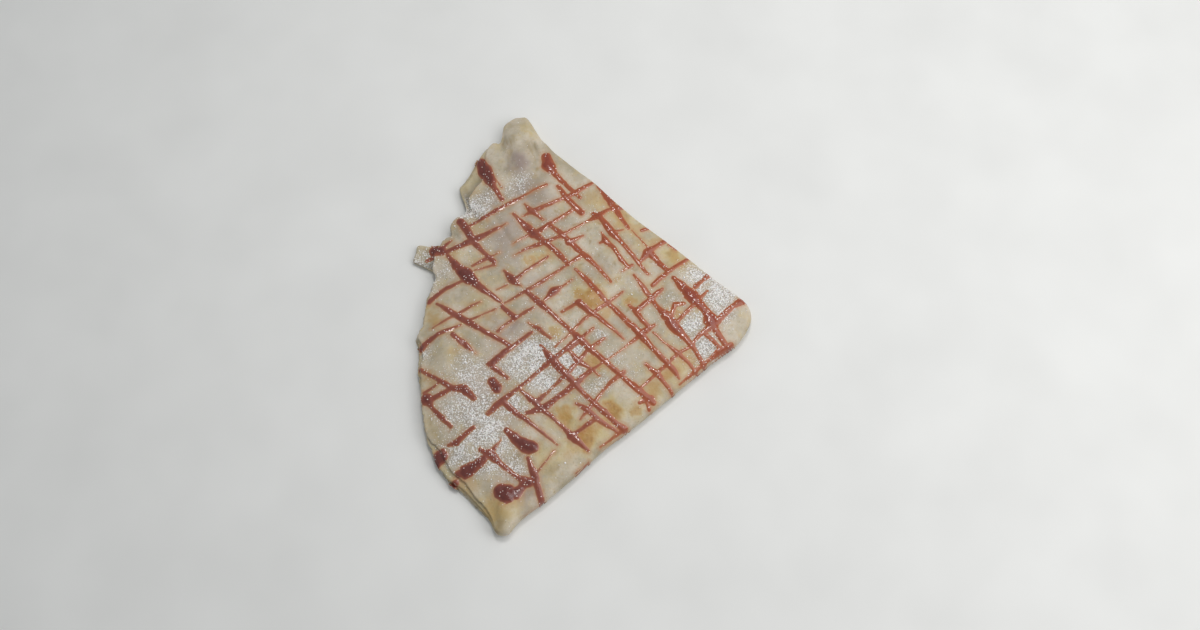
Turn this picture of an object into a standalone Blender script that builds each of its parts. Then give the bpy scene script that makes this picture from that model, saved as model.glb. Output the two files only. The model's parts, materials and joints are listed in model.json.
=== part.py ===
"""A berry crepe: one thin round pancake folded twice into a fan of four leaves.

The fan lies flat with its blunt nose towards +X. Its two straight sides are folds,
and its long curved side is the ragged free edge, where the four leaves end.
Berry sauce is drizzled over the top in two crossing passes and is one body with it.
The origin is the middle of the fan's bounding box, at the bottom.
"""
import math

import bmesh
import bpy
import numpy as np
from mathutils import Vector

MM = 0.001

# The fan's plan, in mm and degrees. The pancake's middle, where the two folds cross, lies
# just past the nose; the lower fold was made a little short of it.
FOLD_CROSSING = (108.6, -6.3)
LOWER_FOLD_POINT = (107.3, -4.8)
UPPER_FOLD_DIRECTION = 138.4
LOWER_FOLD_DIRECTION = 220.8
PANCAKE_RADIUS = 200.0
NOSE_X = 101.5
CENTRE = (-12.0, -4.0)
CORNER_SHARPNESS = 24
# Tabs (+) and notches (-) of the ragged edge: direction from CENTRE, half width before and
# after it, how far out.
TABS = (
    (5, 5, 5, 2.5),
    (11.5, 2.5, 2.5, 0.8),
    (55, 14, 14, -1.1),
    (77.5, 5, 5, 0.8),
    (96, 2.6, 2.6, -1.4),
    (94.8, 1.5, 1.5, 1.9),
    (98.8, 2.5, 3.6, 8.2),
    (99.6, 1.2, 1.2, 2.6),
    (102.8, 2.9, 3.2, 3.8),
    (105.8, 1.8, 0.8, 3),
    (108.3, 1.1, 1.1, -3.6),
    (113.5, 4.5, 4.5, 4.8),
    (121, 6, 6, 4.1),
    (125.8, 1.8, 1.2, 3.2),
    (129, 2.1, 5, -8.6),
    (138, 6, 5, -2.3),
    (140.3, 1.5, 2.4, -3.5),
    (150.3, 2.2, 2.2, 1.4),
    (160, 2.5, 2.5, -3),
    (165, 5, 5, -2.4),
    (186.8, 2.6, 2.6, 2.6),
    (191, 6, 6, 2.6),
    (199.5, 4, 4, 1.3),
    (206, 7, 7, 3),
    (214, 4, 4, 1.2),
    (224, 9, 9, 6.4),
    (233, 4.5, 4.5, 2.2),
    (238, 5, 5, 2.8),
    (244.5, 3.5, 3.5, -2),
    (251, 4.5, 4.5, -5.5),
    (254, 2.5, 1.6, -2.6),
    (257.2, 2.2, 2.2, -0.6),
    (259, 1.6, 0.9, 2.2),
    (261.8, 2.2, 4, -1.5),
    (289, 12, 12, -1.3),
    (351, 4, 4, 1.8),
)
# A torn flap that only the lowest leaves have.
LOW_LEAVES = 2
LOW_TABS = ((150, 1.9, 3.2, 8), (156.3, 5.5, 0.3, 14.7))

# The side of the fan: four leaves, one above the other, with a seam between each two.
LEAVES = 4
EDGE_HEIGHT = 7.2
FOLD_HEIGHT = 8.4
SEAM_DEPTH = 4.5
LIP_ROUNDING = 0.45
LIP_SHARES = (0.16, 0.84)
FOLD_ROUNDING = 4.0
DOUBLE_FOLD_ROUNDING = 2.2
FREE_EDGE = (101, 256)
DOUBLE_FOLD = (14, 97)
# Where one leaf shows past another: the leaf held back, direction, half width, how far back.
SHOWING_LEAVES = (
    (3, 117, 3.5, 11.0),
    (3, 122.5, 4, 8.5),
    (3, 126.5, 2.6, 7.0),
    (2, 121, 5, 2.0),
    (0, 153, 4, 1.2),
    (3, 191, 7, 2.4),
    (3, 232, 5, 3.5),
    (3, 241, 7, 5.5),
    (3, 251, 4, 1.5),
    (2, 240, 8, 0.8),
)

# The top: low over the folds, higher where the filling lies. Lumps: x, y, radius, height.
TOP_HEIGHT = 9.2
CROWN = (2, -4, 72, 2.2)
LUMPS = (
    CROWN,
    (-37, 98, 9, 2.4),
    (-38, 116, 13, 2.2),
    (-31, 107, 5, -1.6),
    (-44, 52, 14, 1.3),
    (-26, 76, 14, 1.2),
    (-68, 86, 9, -1.4),
    (-78, -25, 12, 1.3),
    (-60, -60, 18, 1.2),
    (-8, -27, 16, 1.0),
    (9, 8, 9, 0.9),
    (62, -8, 18, 1.2),
    (-38, -118, 9, 1.2),
)
RIPPLE = 0.28
RIPPLE_LENGTHS = (31.0, 23.0)
EDGE_ROLL = 15.0

# The drizzle's strokes as they lie: from x, y to x, y, and the width, in mm.
FALLING_STROKES = (
    (-61.6, 99.3, -54.6, 87.3, 6.0),
    (-55.6, 85.3, -47.6, 72.3, 3.0),
    (-21.6, 101.3, -19.6, 93.3, 6.0),
    (-19.6, 93.3, -1.6, 73.3, 3.0),
    (-13.6, 80.3, 0.4, 62.3, 3.2),
    (-40.6, 62.3, -6.6, 29.3, 3.0),
    (-17.6, 55.3, 18.4, 18.3, 3.0),
    (-71.6, 58.3, -51.6, 32.3, 4.0),
    (-77.6, 35.3, -46.6, 6.3, 3.6),
    (-70.6, 26.3, -61.6, 18.3, 6.5),
    (-83.6, 4.3, -48.6, -16.7, 3.0),
    (-73.6, -13.7, -59.6, -25.7, 3.0),
    (-29.6, 11.3, 42.4, -54.7, 3.4),
    (-21.6, -21.7, 26.4, -71.7, 3.4),
    (-31.6, -49.7, 3.4, -82.7, 3.2),
    (-50.6, -32.7, -39.6, -41.7, 3.2),
    (-48.6, -42.7, -44.6, -48.7, 4.6),
    (-89.6, -35.7, -58.6, -53.7, 3.6),
    (-51.6, -83.7, -26.6, -102.7, 3.8),
    (-38.6, -71.7, -24.6, -82.7, 5.0),
    (-26.6, -88.7, -18.6, -111.7, 3.8),
    (-43.6, -107.7, -33.6, -108.7, 6.6),
    (14.4, 75.3, 29.4, 52.3, 3.0),
    (40.4, 36.3, 51.4, 24.3, 3.4),
    (54.4, 19.3, 84.4, -21.7, 3.4),
    (63.4, 9.3, 76.4, -8.7, 6.5),
    (8.4, 61.3, 41.4, 21.3, 3.2),
    (14.4, 44.3, 28.4, 27.3, 3.0),
    (-1.6, 25.3, 57.4, -40.7, 3.2),
    (-0.6, 4.3, 26.4, -17.7, 3.0),
    (32.4, 22.3, 54.4, -10.7, 3.2),
    (54.4, -10.7, 72.4, -34.7, 3.4),
)
RISING_STROKES = (
    (-65.6, 54.3, -20.6, 82.3, 3.0),
    (-82.6, 37.3, -44.6, 55.3, 3.0),
    (-27.6, 48.3, -2.6, 64.3, 2.8),
    (-38.6, 35.3, 10.4, 60.3, 2.6),
    (-37.6, 20.3, -18.6, 33.3, 2.8),
    (-86.6, 6.3, -71.6, 17.3, 3.4),
    (-44.6, 4.3, 2.4, 34.3, 2.6),
    (-89.6, -21.7, -69.6, -8.7, 3.4),
    (-49.6, -31.7, -27.6, -12.7, 3.4),
    (-49.6, -61.7, 9.4, -10.7, 3.0),
    (-28.6, -62.7, 7.4, -37.7, 3.4),
    (-21.6, -54.7, 14.4, -17.7, 2.8),
    (28.4, -21.7, 43.4, -10.7, 3.0),
    (-5.6, -76.7, 11.4, -65.7, 3.2),
    (32.4, -0.7, 49.4, 12.3, 3.0),
    (42.4, 15.3, 61.4, 29.3, 3.0),
    (56.4, -8.7, 70.4, 7.3, 2.8),
    (68.4, -17.7, 92.4, 3.3, 3.4),
    (-63.6, -97.7, -46.6, -84.7, 5.0),
    (-70.6, -80.7, -58.6, -70.7, 4.0),
    (-86.6, -53.7, -72.6, -46.7, 3.4),
)
DRIZZLE_RISE = 1.0
DRIZZLE_SUNK = 0.9
CROSSING_STEP = 0.15
FOOT_SHARE = 1.2
SHOULDER_SHARE = 0.7
DRIZZLE_STEP = 8.0
RIM_CLEARANCE = 3.0

# How finely the solid is cut: steps round the fan in degrees, and rings over the top.
STEPS_ROUND = (
    (108, 134, 2.0),
    (134, 148, 2.8),
    (148, 155.5, 1.5),
    (155.5, 158.5, 0.75),
    (158.5, 161.5, 1.5),
    (161.5, 250, 3.0),
    (250, 264, 1.4),
    (264, 345, 5.4),
    (345, 374, 4.2),
    (374, 452, 5.2),
    (452, 458, 2.0),
    (458, 468, 1.43),
)
TOP_RINGS = (0.97, 0.9, 0.8, 0.69, 0.57, 0.45, 0.33, 0.21, 0.1)


def bump(distance, half_width):
    """A smooth bump: 1 in its middle, fading with the distance from it."""
    return math.exp(-((distance / half_width) ** 2))


def turn_between(angle, other):
    """The shortest turn from one direction to another, in degrees."""
    return (angle - other + 180) % 360 - 180


def smooth_step(value):
    """0 below 0, 1 above 1, with a smooth rise between."""
    share = min(max(value, 0.0), 1.0)
    return share * share * (3 - 2 * share)


def within(angle, span, softness=4.0):
    """1 inside a span of directions and 0 outside it, with soft ends."""
    start, end = span
    middle = (start + end) / 2
    depth_inside = (end - start) / 2 - abs(turn_between(angle, middle))
    return smooth_step(depth_inside / softness + 0.5)


def distance_to_line(angle, point, direction):
    """How far CENTRE is from a line, looking along an angle. Looking away gives no limit."""
    normal = (-math.sin(math.radians(direction)), math.cos(math.radians(direction)))
    offset = (point[0] - CENTRE[0]) * normal[0] + (point[1] - CENTRE[1]) * normal[1]
    speed = math.cos(math.radians(angle)) * normal[0] + math.sin(math.radians(angle)) * normal[1]
    if offset * speed <= 0:
        return math.inf
    return offset / speed


def distance_to_free_edge(angle):
    """How far CENTRE is from the pancake's round edge, looking along an angle."""
    away = (FOLD_CROSSING[0] - CENTRE[0], FOLD_CROSSING[1] - CENTRE[1])
    along = math.cos(math.radians(angle)) * away[0] + math.sin(math.radians(angle)) * away[1]
    return along + math.sqrt(along**2 - away[0] ** 2 - away[1] ** 2 + PANCAKE_RADIUS**2)


def tab_reach(angle, tabs):
    """How far a list of tabs and notches reaches out at a direction."""
    reach = 0.0
    for direction, before, after, out in tabs:
        turn = turn_between(angle, direction)
        reach += out * bump(turn, before if turn < 0 else after)
    return reach


def outline_radius(angle):
    """The fan's outline from CENTRE: two folds, nose and free edge, with rounded corners."""
    limits = (
        distance_to_line(angle, FOLD_CROSSING, UPPER_FOLD_DIRECTION),
        distance_to_line(angle, LOWER_FOLD_POINT, LOWER_FOLD_DIRECTION),
        distance_to_line(angle, (NOSE_X, 0), 90),
        distance_to_free_edge(angle),
    )
    radius = sum(limit**-CORNER_SHARPNESS for limit in limits) ** (-1 / CORNER_SHARPNESS)
    return radius + tab_reach(angle, TABS + LOW_TABS)


def leaf_radius(angle, leaf):
    """The outline of one leaf, counted from the bottom. The folds keep all leaves together."""
    held_back = 0.7 + 0.6 * math.sin(math.radians(angle) * (7 + 2 * leaf) + 2.1 * leaf)
    for leaf_back, direction, half_width, back in SHOWING_LEAVES:
        if leaf == leaf_back:
            held_back += back * bump(turn_between(angle, direction), half_width)
    if leaf >= LOW_LEAVES:
        held_back += tab_reach(angle, LOW_TABS)
    return outline_radius(angle) - held_back * within(angle, FREE_EDGE)


def edge_height(angle):
    """The height of the fan's side: a little more over the folds than at the free edge."""
    return FOLD_HEIGHT + (EDGE_HEIGHT - FOLD_HEIGHT) * within(angle, FREE_EDGE)


def round_inset(share, depth):
    """How far a round side draws in at a share of its height."""
    return depth * (1 - math.sqrt(max(1 - (2 * share - 1) ** 2, 0)))


def side_ring_radius(angle, share, leaf, is_seam):
    """One point of the side: lips and seams at the free edge, round folds elsewhere."""
    outline = outline_radius(angle)
    single_fold = outline - round_inset(share, FOLD_ROUNDING)
    double_fold = outline - round_inset((2 * share) % 1, DOUBLE_FOLD_ROUNDING)
    if is_seam:
        lip = min(leaf_radius(angle, leaf), leaf_radius(angle, leaf + 1)) - SEAM_DEPTH
    else:
        lip = leaf_radius(angle, leaf) - LIP_ROUNDING
    is_double = within(angle, DOUBLE_FOLD)
    folded = single_fold + (double_fold - single_fold) * is_double
    return folded + (lip - folded) * within(angle, FREE_EDGE)


def top_height(x, y):
    """The height of the top leaf, without the fall towards its edge."""
    height = TOP_HEIGHT
    for lump_x, lump_y, radius, rise in LUMPS:
        height += rise * bump(math.hypot(x - lump_x, y - lump_y), radius)
    first, second = RIPPLE_LENGTHS
    height += RIPPLE * math.sin(2 * math.pi * (x + 0.4 * y) / first)
    return height + RIPPLE * math.sin(2 * math.pi * (y - 0.3 * x) / second)


def surface_height(x, y):
    """The height of the top at a place, and how far inside the top leaf's edge it is."""
    angle = math.degrees(math.atan2(y - CENTRE[1], x - CENTRE[0])) % 360
    rim = leaf_radius(angle, LEAVES - 1) - LIP_ROUNDING
    inside = rim - math.hypot(x - CENTRE[0], y - CENTRE[1])
    shoulder = edge_height(angle) * (LEAVES - 1 + LIP_SHARES[1]) / LEAVES
    full = top_height(x, y)
    return shoulder + (full - shoulder) * smooth_step(inside / EDGE_ROLL), inside


def place_ring(ring, radius_at, height_at, angles):
    """Moves a ring of vertices to its radius and height, both given for each direction."""
    for vertex, angle in zip(ring, angles):
        radius = radius_at(angle)
        x = CENTRE[0] + radius * math.cos(math.radians(angle))
        y = CENTRE[1] + radius * math.sin(math.radians(angle))
        vertex.co = Vector((x, y, height_at(angle, x, y))) * MM


def extrude_ring(bm, ring):
    """Extrudes a closed ring of vertices and returns the new one in the same order."""
    new_ring = [bm.verts.new(vertex.co) for vertex in ring]
    count = len(ring)
    for i in range(count):
        after = (i + 1) % count
        bm.faces.new((ring[i], ring[after], new_ring[after], new_ring[i]))
    return new_ring


def directions_round():
    """The directions of the outline's points: close together along the free edge."""
    angles = []
    for start, end, step in STEPS_ROUND:
        count = round((end - start) / step)
        angles += [start + (end - start) * i / count for i in range(count)]
    return [angle % 360 for angle in angles]


def side_levels():
    """The levels up the side: for each leaf its two lip edges, then the seam above it."""
    levels = []
    for leaf in range(LEAVES):
        levels += [((leaf + share) / LEAVES, leaf, False) for share in LIP_SHARES]
        if leaf < LEAVES - 1:
            levels.append(((leaf + 1) / LEAVES, leaf, True))
    return levels


def make_crepe(material):
    """The folded pancake: rings up its side, then rings over its top to the middle."""
    angles = directions_round()
    bm = bmesh.new()
    ring = [bm.verts.new((0, 0, 0)) for _ in angles]
    place_ring(
        ring,
        lambda angle: side_ring_radius(angle, 0, 0, False) - 2 * LIP_ROUNDING,
        lambda angle, x, y: 0.0,
        angles,
    )
    bm.faces.new(reversed(ring))
    for share, leaf, is_seam in side_levels():
        ring = extrude_ring(bm, ring)
        place_ring(
            ring,
            lambda angle: side_ring_radius(angle, share, leaf, is_seam),
            lambda angle, x, y: edge_height(angle) * share,
            angles,
        )
    for share in TOP_RINGS:
        ring = extrude_ring(bm, ring)
        place_ring(
            ring,
            lambda angle: leaf_radius(angle, LEAVES - 1) * share,
            lambda angle, x, y: surface_height(x, y)[0],
            angles,
        )
    middle = bm.verts.new(Vector((*CENTRE, surface_height(*CENTRE)[0])) * MM)
    for i, vertex in enumerate(ring):
        bm.faces.new((vertex, ring[(i + 1) % len(ring)], middle))
    bmesh.ops.triangulate(bm, faces=bm.faces)
    return object_from(bm, "crepe", material)


def object_from(bm, name, material):
    """Makes a smooth-shaded object of a bmesh."""
    mesh = bpy.data.meshes.new(name)
    bm.to_mesh(mesh)
    bm.free()
    mesh.materials.append(material)
    mesh.shade_smooth()
    mesh.set_sharp_from_angle(angle=math.radians(50))
    made = bpy.data.objects.new(name, mesh)
    bpy.context.scene.collection.objects.link(made)
    return made


def stroke_sections(stroke, rise):
    """The sections of one stroke: four corners each, sunk below and standing above the top."""
    start = np.array(stroke[0:2], dtype=float)
    end = np.array(stroke[2:4], dtype=float)
    width = stroke[4]
    length = np.linalg.norm(end - start)
    along = (end - start) / length
    across = np.array((-along[1], along[0]))
    count = max(round(length / DRIZZLE_STEP), 1)
    shares = [-0.5 * width / length, 0.0, *(i / count for i in range(1, count)), 1.0]
    shares.append(1 + 0.5 * width / length)
    sections = []
    for number, share in enumerate(shares):
        is_tip = number in (0, len(shares) - 1)
        size = 0.45 if is_tip else 1.0
        x, y = start + (end - start) * share
        ground, inside = surface_height(x, y)
        if inside < RIM_CLEARANCE:
            continue
        corners = []
        for side, lift in ((-0.5, -DRIZZLE_SUNK), (0.5, -DRIZZLE_SUNK), (0.5, rise), (-0.5, rise)):
            reach = side * width * size * (SHOULDER_SHARE if lift > 0 else FOOT_SHARE)
            stand = lift * (0.4 if is_tip and lift > 0 else 1)
            corner_x, corner_y = np.array((x, y)) + across * reach
            corners.append(Vector((corner_x, corner_y, ground + stand)) * MM)
        sections.append(corners)
    return sections


def lay_stroke(stroke, rise, collection, material):
    """One stroke of sauce: a low bar with sloping sides that follows the top."""
    bm = bmesh.new()
    rings = [[bm.verts.new(corner) for corner in section] for section in stroke_sections(stroke, rise)]
    bm.faces.new(rings[0])
    for ring, after in zip(rings, rings[1:]):
        for i in range(4):
            j = (i + 1) % 4
            bm.faces.new((ring[j], ring[i], after[i], after[j]))
    bm.faces.new(reversed(rings[-1]))
    bmesh.ops.recalc_face_normals(bm, faces=bm.faces)
    bmesh.ops.triangulate(bm, faces=bm.faces)
    made = object_from(bm, "stroke", material)
    bpy.context.scene.collection.objects.unlink(made)
    collection.objects.link(made)


def fuse_drizzle(crepe, material):
    """Joins all strokes to the crepe in one union, and removes them after it."""
    strokes = bpy.data.collections.new("drizzle")
    bpy.context.scene.collection.children.link(strokes)
    for stroke in FALLING_STROKES:
        lay_stroke(stroke, DRIZZLE_RISE, strokes, material)
    for stroke in RISING_STROKES:
        lay_stroke(stroke, DRIZZLE_RISE + CROSSING_STEP, strokes, material)
    union = crepe.modifiers.new("drizzle", "BOOLEAN")
    union.operation = "UNION"
    union.operand_type = "COLLECTION"
    union.collection = strokes
    union.solver = "EXACT"
    bpy.context.view_layer.objects.active = crepe
    bpy.ops.object.modifier_apply(modifier=union.name)
    for made in list(strokes.objects):
        bpy.data.objects.remove(made)
    bpy.data.collections.remove(strokes)


def make_material(name, colour, roughness):
    """A plain material: colour as linear red, green and blue."""
    material = bpy.data.materials.new(name)
    material.use_nodes = True
    shader = material.node_tree.nodes["Principled BSDF"]
    shader.inputs["Base Color"].default_value = (*colour, 1)
    shader.inputs["Roughness"].default_value = roughness
    shader.inputs["Metallic"].default_value = 0.0
    return material


def main():
    for old in list(bpy.data.objects):
        bpy.data.objects.remove(old)
    batter = make_material("fried_crepe_batter", (0.50, 0.43, 0.33), 0.6)
    crepe = make_crepe(batter)
    fuse_drizzle(crepe, batter)


main()
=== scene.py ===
"""The looks of a berry crepe: a thin wheat pancake folded twice into a fan of four leaves,
with crossed drizzles of berry sauce and a dusting of icing sugar.

Sizes are in mm and angles in degrees, in the frame's own axes, until MM turns them to metres.
The fan's plan and top repeat the named values of its solid, so that both have one form.
"""

import json
import math

import bmesh
import bpy
import numpy as np
from mathutils import Matrix, Vector
from mathutils.bvhtree import BVHTree

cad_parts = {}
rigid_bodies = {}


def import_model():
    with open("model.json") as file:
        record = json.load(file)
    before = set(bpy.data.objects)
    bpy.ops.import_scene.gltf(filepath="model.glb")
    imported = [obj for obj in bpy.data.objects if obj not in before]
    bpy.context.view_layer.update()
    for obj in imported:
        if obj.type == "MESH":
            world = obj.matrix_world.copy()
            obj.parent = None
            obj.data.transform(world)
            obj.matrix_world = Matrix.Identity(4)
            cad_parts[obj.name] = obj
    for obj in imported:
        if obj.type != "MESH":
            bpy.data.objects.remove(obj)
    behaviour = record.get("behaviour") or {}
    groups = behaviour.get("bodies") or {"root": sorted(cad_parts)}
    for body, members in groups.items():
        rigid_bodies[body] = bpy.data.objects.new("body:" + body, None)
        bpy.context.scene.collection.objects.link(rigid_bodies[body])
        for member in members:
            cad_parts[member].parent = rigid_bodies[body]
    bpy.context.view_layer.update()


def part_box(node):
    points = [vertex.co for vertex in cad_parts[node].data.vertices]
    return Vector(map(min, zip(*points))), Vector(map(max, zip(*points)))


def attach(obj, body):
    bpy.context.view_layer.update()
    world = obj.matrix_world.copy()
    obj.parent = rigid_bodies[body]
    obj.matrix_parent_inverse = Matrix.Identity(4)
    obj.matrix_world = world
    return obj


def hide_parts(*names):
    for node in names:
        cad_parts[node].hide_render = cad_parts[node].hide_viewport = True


MM = 0.001
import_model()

# The fan's plan: a folded edge through each of the two points, a blunt nose at NOSE_X and the
# pancake's round edge about FOLD_CROSSING. Its outline is measured from CENTRE.
FOLD_CROSSING = (108.6, -6.3)
LOWER_FOLD_POINT = (107.3, -4.8)
UPPER_FOLD_DIRECTION = 138.4
LOWER_FOLD_DIRECTION = 220.8
PANCAKE_RADIUS = 200.0
NOSE_X = 101.5
CENTRE = (-12.0, -4.0)
CORNER_SHARPNESS = 24
# Tabs (+) and notches (-) of the ragged edge: direction from CENTRE, half width before and
# after it, how far out.
TABS = (
    (5, 5, 5, 2.5),
    (11.5, 2.5, 2.5, 0.8),
    (55, 14, 14, -1.1),
    (77.5, 5, 5, 0.8),
    (96, 2.6, 2.6, -1.4),
    (94.8, 1.5, 1.5, 1.9),
    (98.8, 2.5, 3.6, 8.2),
    (99.6, 1.2, 1.2, 2.6),
    (102.8, 2.9, 3.2, 3.8),
    (105.8, 1.8, 0.8, 3),
    (108.3, 1.1, 1.1, -3.6),
    (113.5, 4.5, 4.5, 4.8),
    (121, 6, 6, 4.1),
    (125.8, 1.8, 1.2, 3.2),
    (129, 2.1, 5, -8.6),
    (138, 6, 5, -2.3),
    (140.3, 1.5, 2.4, -3.5),
    (150.3, 2.2, 2.2, 1.4),
    (160, 2.5, 2.5, -3),
    (165, 5, 5, -2.4),
    (186.8, 2.6, 2.6, 2.6),
    (191, 6, 6, 2.6),
    (199.5, 4, 4, 1.3),
    (206, 7, 7, 3),
    (214, 4, 4, 1.2),
    (224, 9, 9, 6.4),
    (233, 4.5, 4.5, 2.2),
    (238, 5, 5, 2.8),
    (244.5, 3.5, 3.5, -2),
    (251, 4.5, 4.5, -5.5),
    (254, 2.5, 1.6, -2.6),
    (257.2, 2.2, 2.2, -0.6),
    (259, 1.6, 0.9, 2.2),
    (261.8, 2.2, 4, -1.5),
    (289, 12, 12, -1.3),
    (351, 4, 4, 1.8),
)
# A torn flap that only the lowest leaves have.
LOW_LEAVES = 2
LOW_TABS = ((150, 1.9, 3.2, 8), (156.3, 5.5, 0.3, 14.7))
# The edge was torn and crisped in the pan: fine steps of these sizes and heights.
RAGGED = ((4.5, 0.45), (1.9, 0.28))

# The side of the fan: four leaves, one above the other, with a seam between each two.
LEAVES = 4
EDGE_HEIGHT = 7.2
FOLD_HEIGHT = 8.4
SEAM_DEPTH = 3.6
DOUBLE_SEAM_DEPTH = 5.0
FOLD_ROUNDING = 4.0
DOUBLE_FOLD_ROUNDING = 2.2
FREE_EDGE = (101, 256)
DOUBLE_FOLD = (14, 97)
# A leaf's lip at the free edge: share of the leaf's height, how far in from its outline.
LIP = ((0.12, 1.8), (0.2, 0.5), (0.48, 0.0), (0.76, 0.5), (0.88, 1.8))
TOP_LIP = ((0.12, 1.8), (0.22, 0.5), (0.5, 0.0), (0.72, 0.22), (0.86, 0.7))
LIP_WAVE = 0.2
# Each leaf ends a little inside the outline, by a bit more and less on its way round.
LEAF_INSET = 0.7
LEAF_WAVE = 0.6
FOOT_INSET = 4.2
# Where one leaf shows past another: the leaf held back, direction, half width, how far back.
SHOWING_LEAVES = (
    (3, 117, 3.5, 11.0),
    (3, 122.5, 4, 8.5),
    (3, 126.5, 2.6, 7.0),
    (2, 121, 5, 2.0),
    (0, 153, 4, 1.2),
    (3, 191, 7, 2.4),
    (3, 232, 5, 3.5),
    (3, 241, 7, 5.5),
    (3, 251, 4, 1.5),
    (2, 240, 8, 0.8),
)

# The top: low over the folds, higher where the filling lies. Lumps: x, y, radius, height.
TOP_HEIGHT = 9.2
LUMPS = (
    (2, -4, 72, 2.2),
    (-37, 98, 9, 2.4),
    (-38, 116, 13, 2.2),
    (-31, 107, 5, -1.6),
    (-44, 52, 14, 1.3),
    (-26, 76, 14, 1.2),
    (-68, 86, 9, -1.4),
    (-78, -25, 12, 1.3),
    (-60, -60, 18, 1.2),
    (-8, -27, 16, 1.0),
    (9, 8, 9, 0.9),
    (62, -8, 18, 1.2),
    (-38, -118, 9, 1.2),
)
RIPPLE = 0.28
RIPPLE_LENGTHS = (31.0, 23.0)
EDGE_ROLL = 15.0
# Soft unevenness of the fried leaf: size and height.
UNEVENNESS = ((15, 0.32), (6.5, 0.15), (3.0, 0.07), (1.7, 0.03))
# Creases pressed into the leaf: from x, y to x, y, half width, depth (- is a ridge).
CREASES = (
    (-28, 100, -29, 107, 2.2, 0.9),
    (-29, 107, -36, 109, 2.2, 1.2),
    (-36, 109, -43, 103, 2.0, 1.0),
    (-43, 103, -46, 94, 1.8, 0.8),
    (-27, 104, -30, 94, 1.8, 0.5),
    (-52, 62, -40, 42, 2.2, 0.35),
    (-36, 68, -31, 50, 2.0, 0.3),
    (-62, 84, -58, 96, 1.6, 0.4),
    (-90, -28, -86, -14, 1.5, 0.4),
    (-86, -14, -76, -11, 1.4, 0.35),
    (-68, -14, -64, -26, 1.3, 0.35),
    (-40, -104, -44, -122, 1.8, 0.4),
    (-64, -97, -55, -107, 1.5, -0.5),
    (-55, -107, -45, -122, 1.5, -0.6),
    (-60, -96, -50, -107, 2.2, 0.4),
    (-52, -84, -66, -100, 2.0, 0.3),
    (42, 6, 42, 1, 0.5, 0.35),
    (22, 84, 62, 48, 2.4, 0.35),
    (66, 44, 92, 20, 2.4, 0.3),
    (0, -84, 44, -48, 2.4, 0.3),
    (50, -43, 82, -18, 2.4, 0.25),
    (-46, 119, -42, 127, 1.1, 0.45),
    (-38, 124, -30, 114, 1.6, 0.35),
    (80, -8, 96, -6, 2.2, 0.2),
)
# Bubbles of the batter burst in the pan and left shallow pits.
PIT_COUNT = 520
PIT_AREA = ((-95, 100), (-128, 130))
PIT_RADII = (0.5, 1.25)
PIT_DEPTHS = (0.06, 0.2)

# How finely the crepe is cut. Its top is a grid between four corners of its rim.
SIDE_STEPS = 220
GRID_CORNERS = (-2, 101, 180, 258)
UNDERSIDE_SHARES = (0.5, 0.7, 0.84, 0.93)
RIM_SHARES = (0.05, 0.11, 0.19, 0.3, 0.44, 0.6, 0.8, 1.0)
GRID_INSET = 18.0
# The underside's shallow hollows: how deep, and how far in from the outline they start.
HOLLOW_DEPTH = 0.25
HOLLOW_INSET = 12.0
# The grid keeps further in behind the wide notch: direction, half width, how much.
NOTCH_INSET = (125, 14, 14.0)

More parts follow.
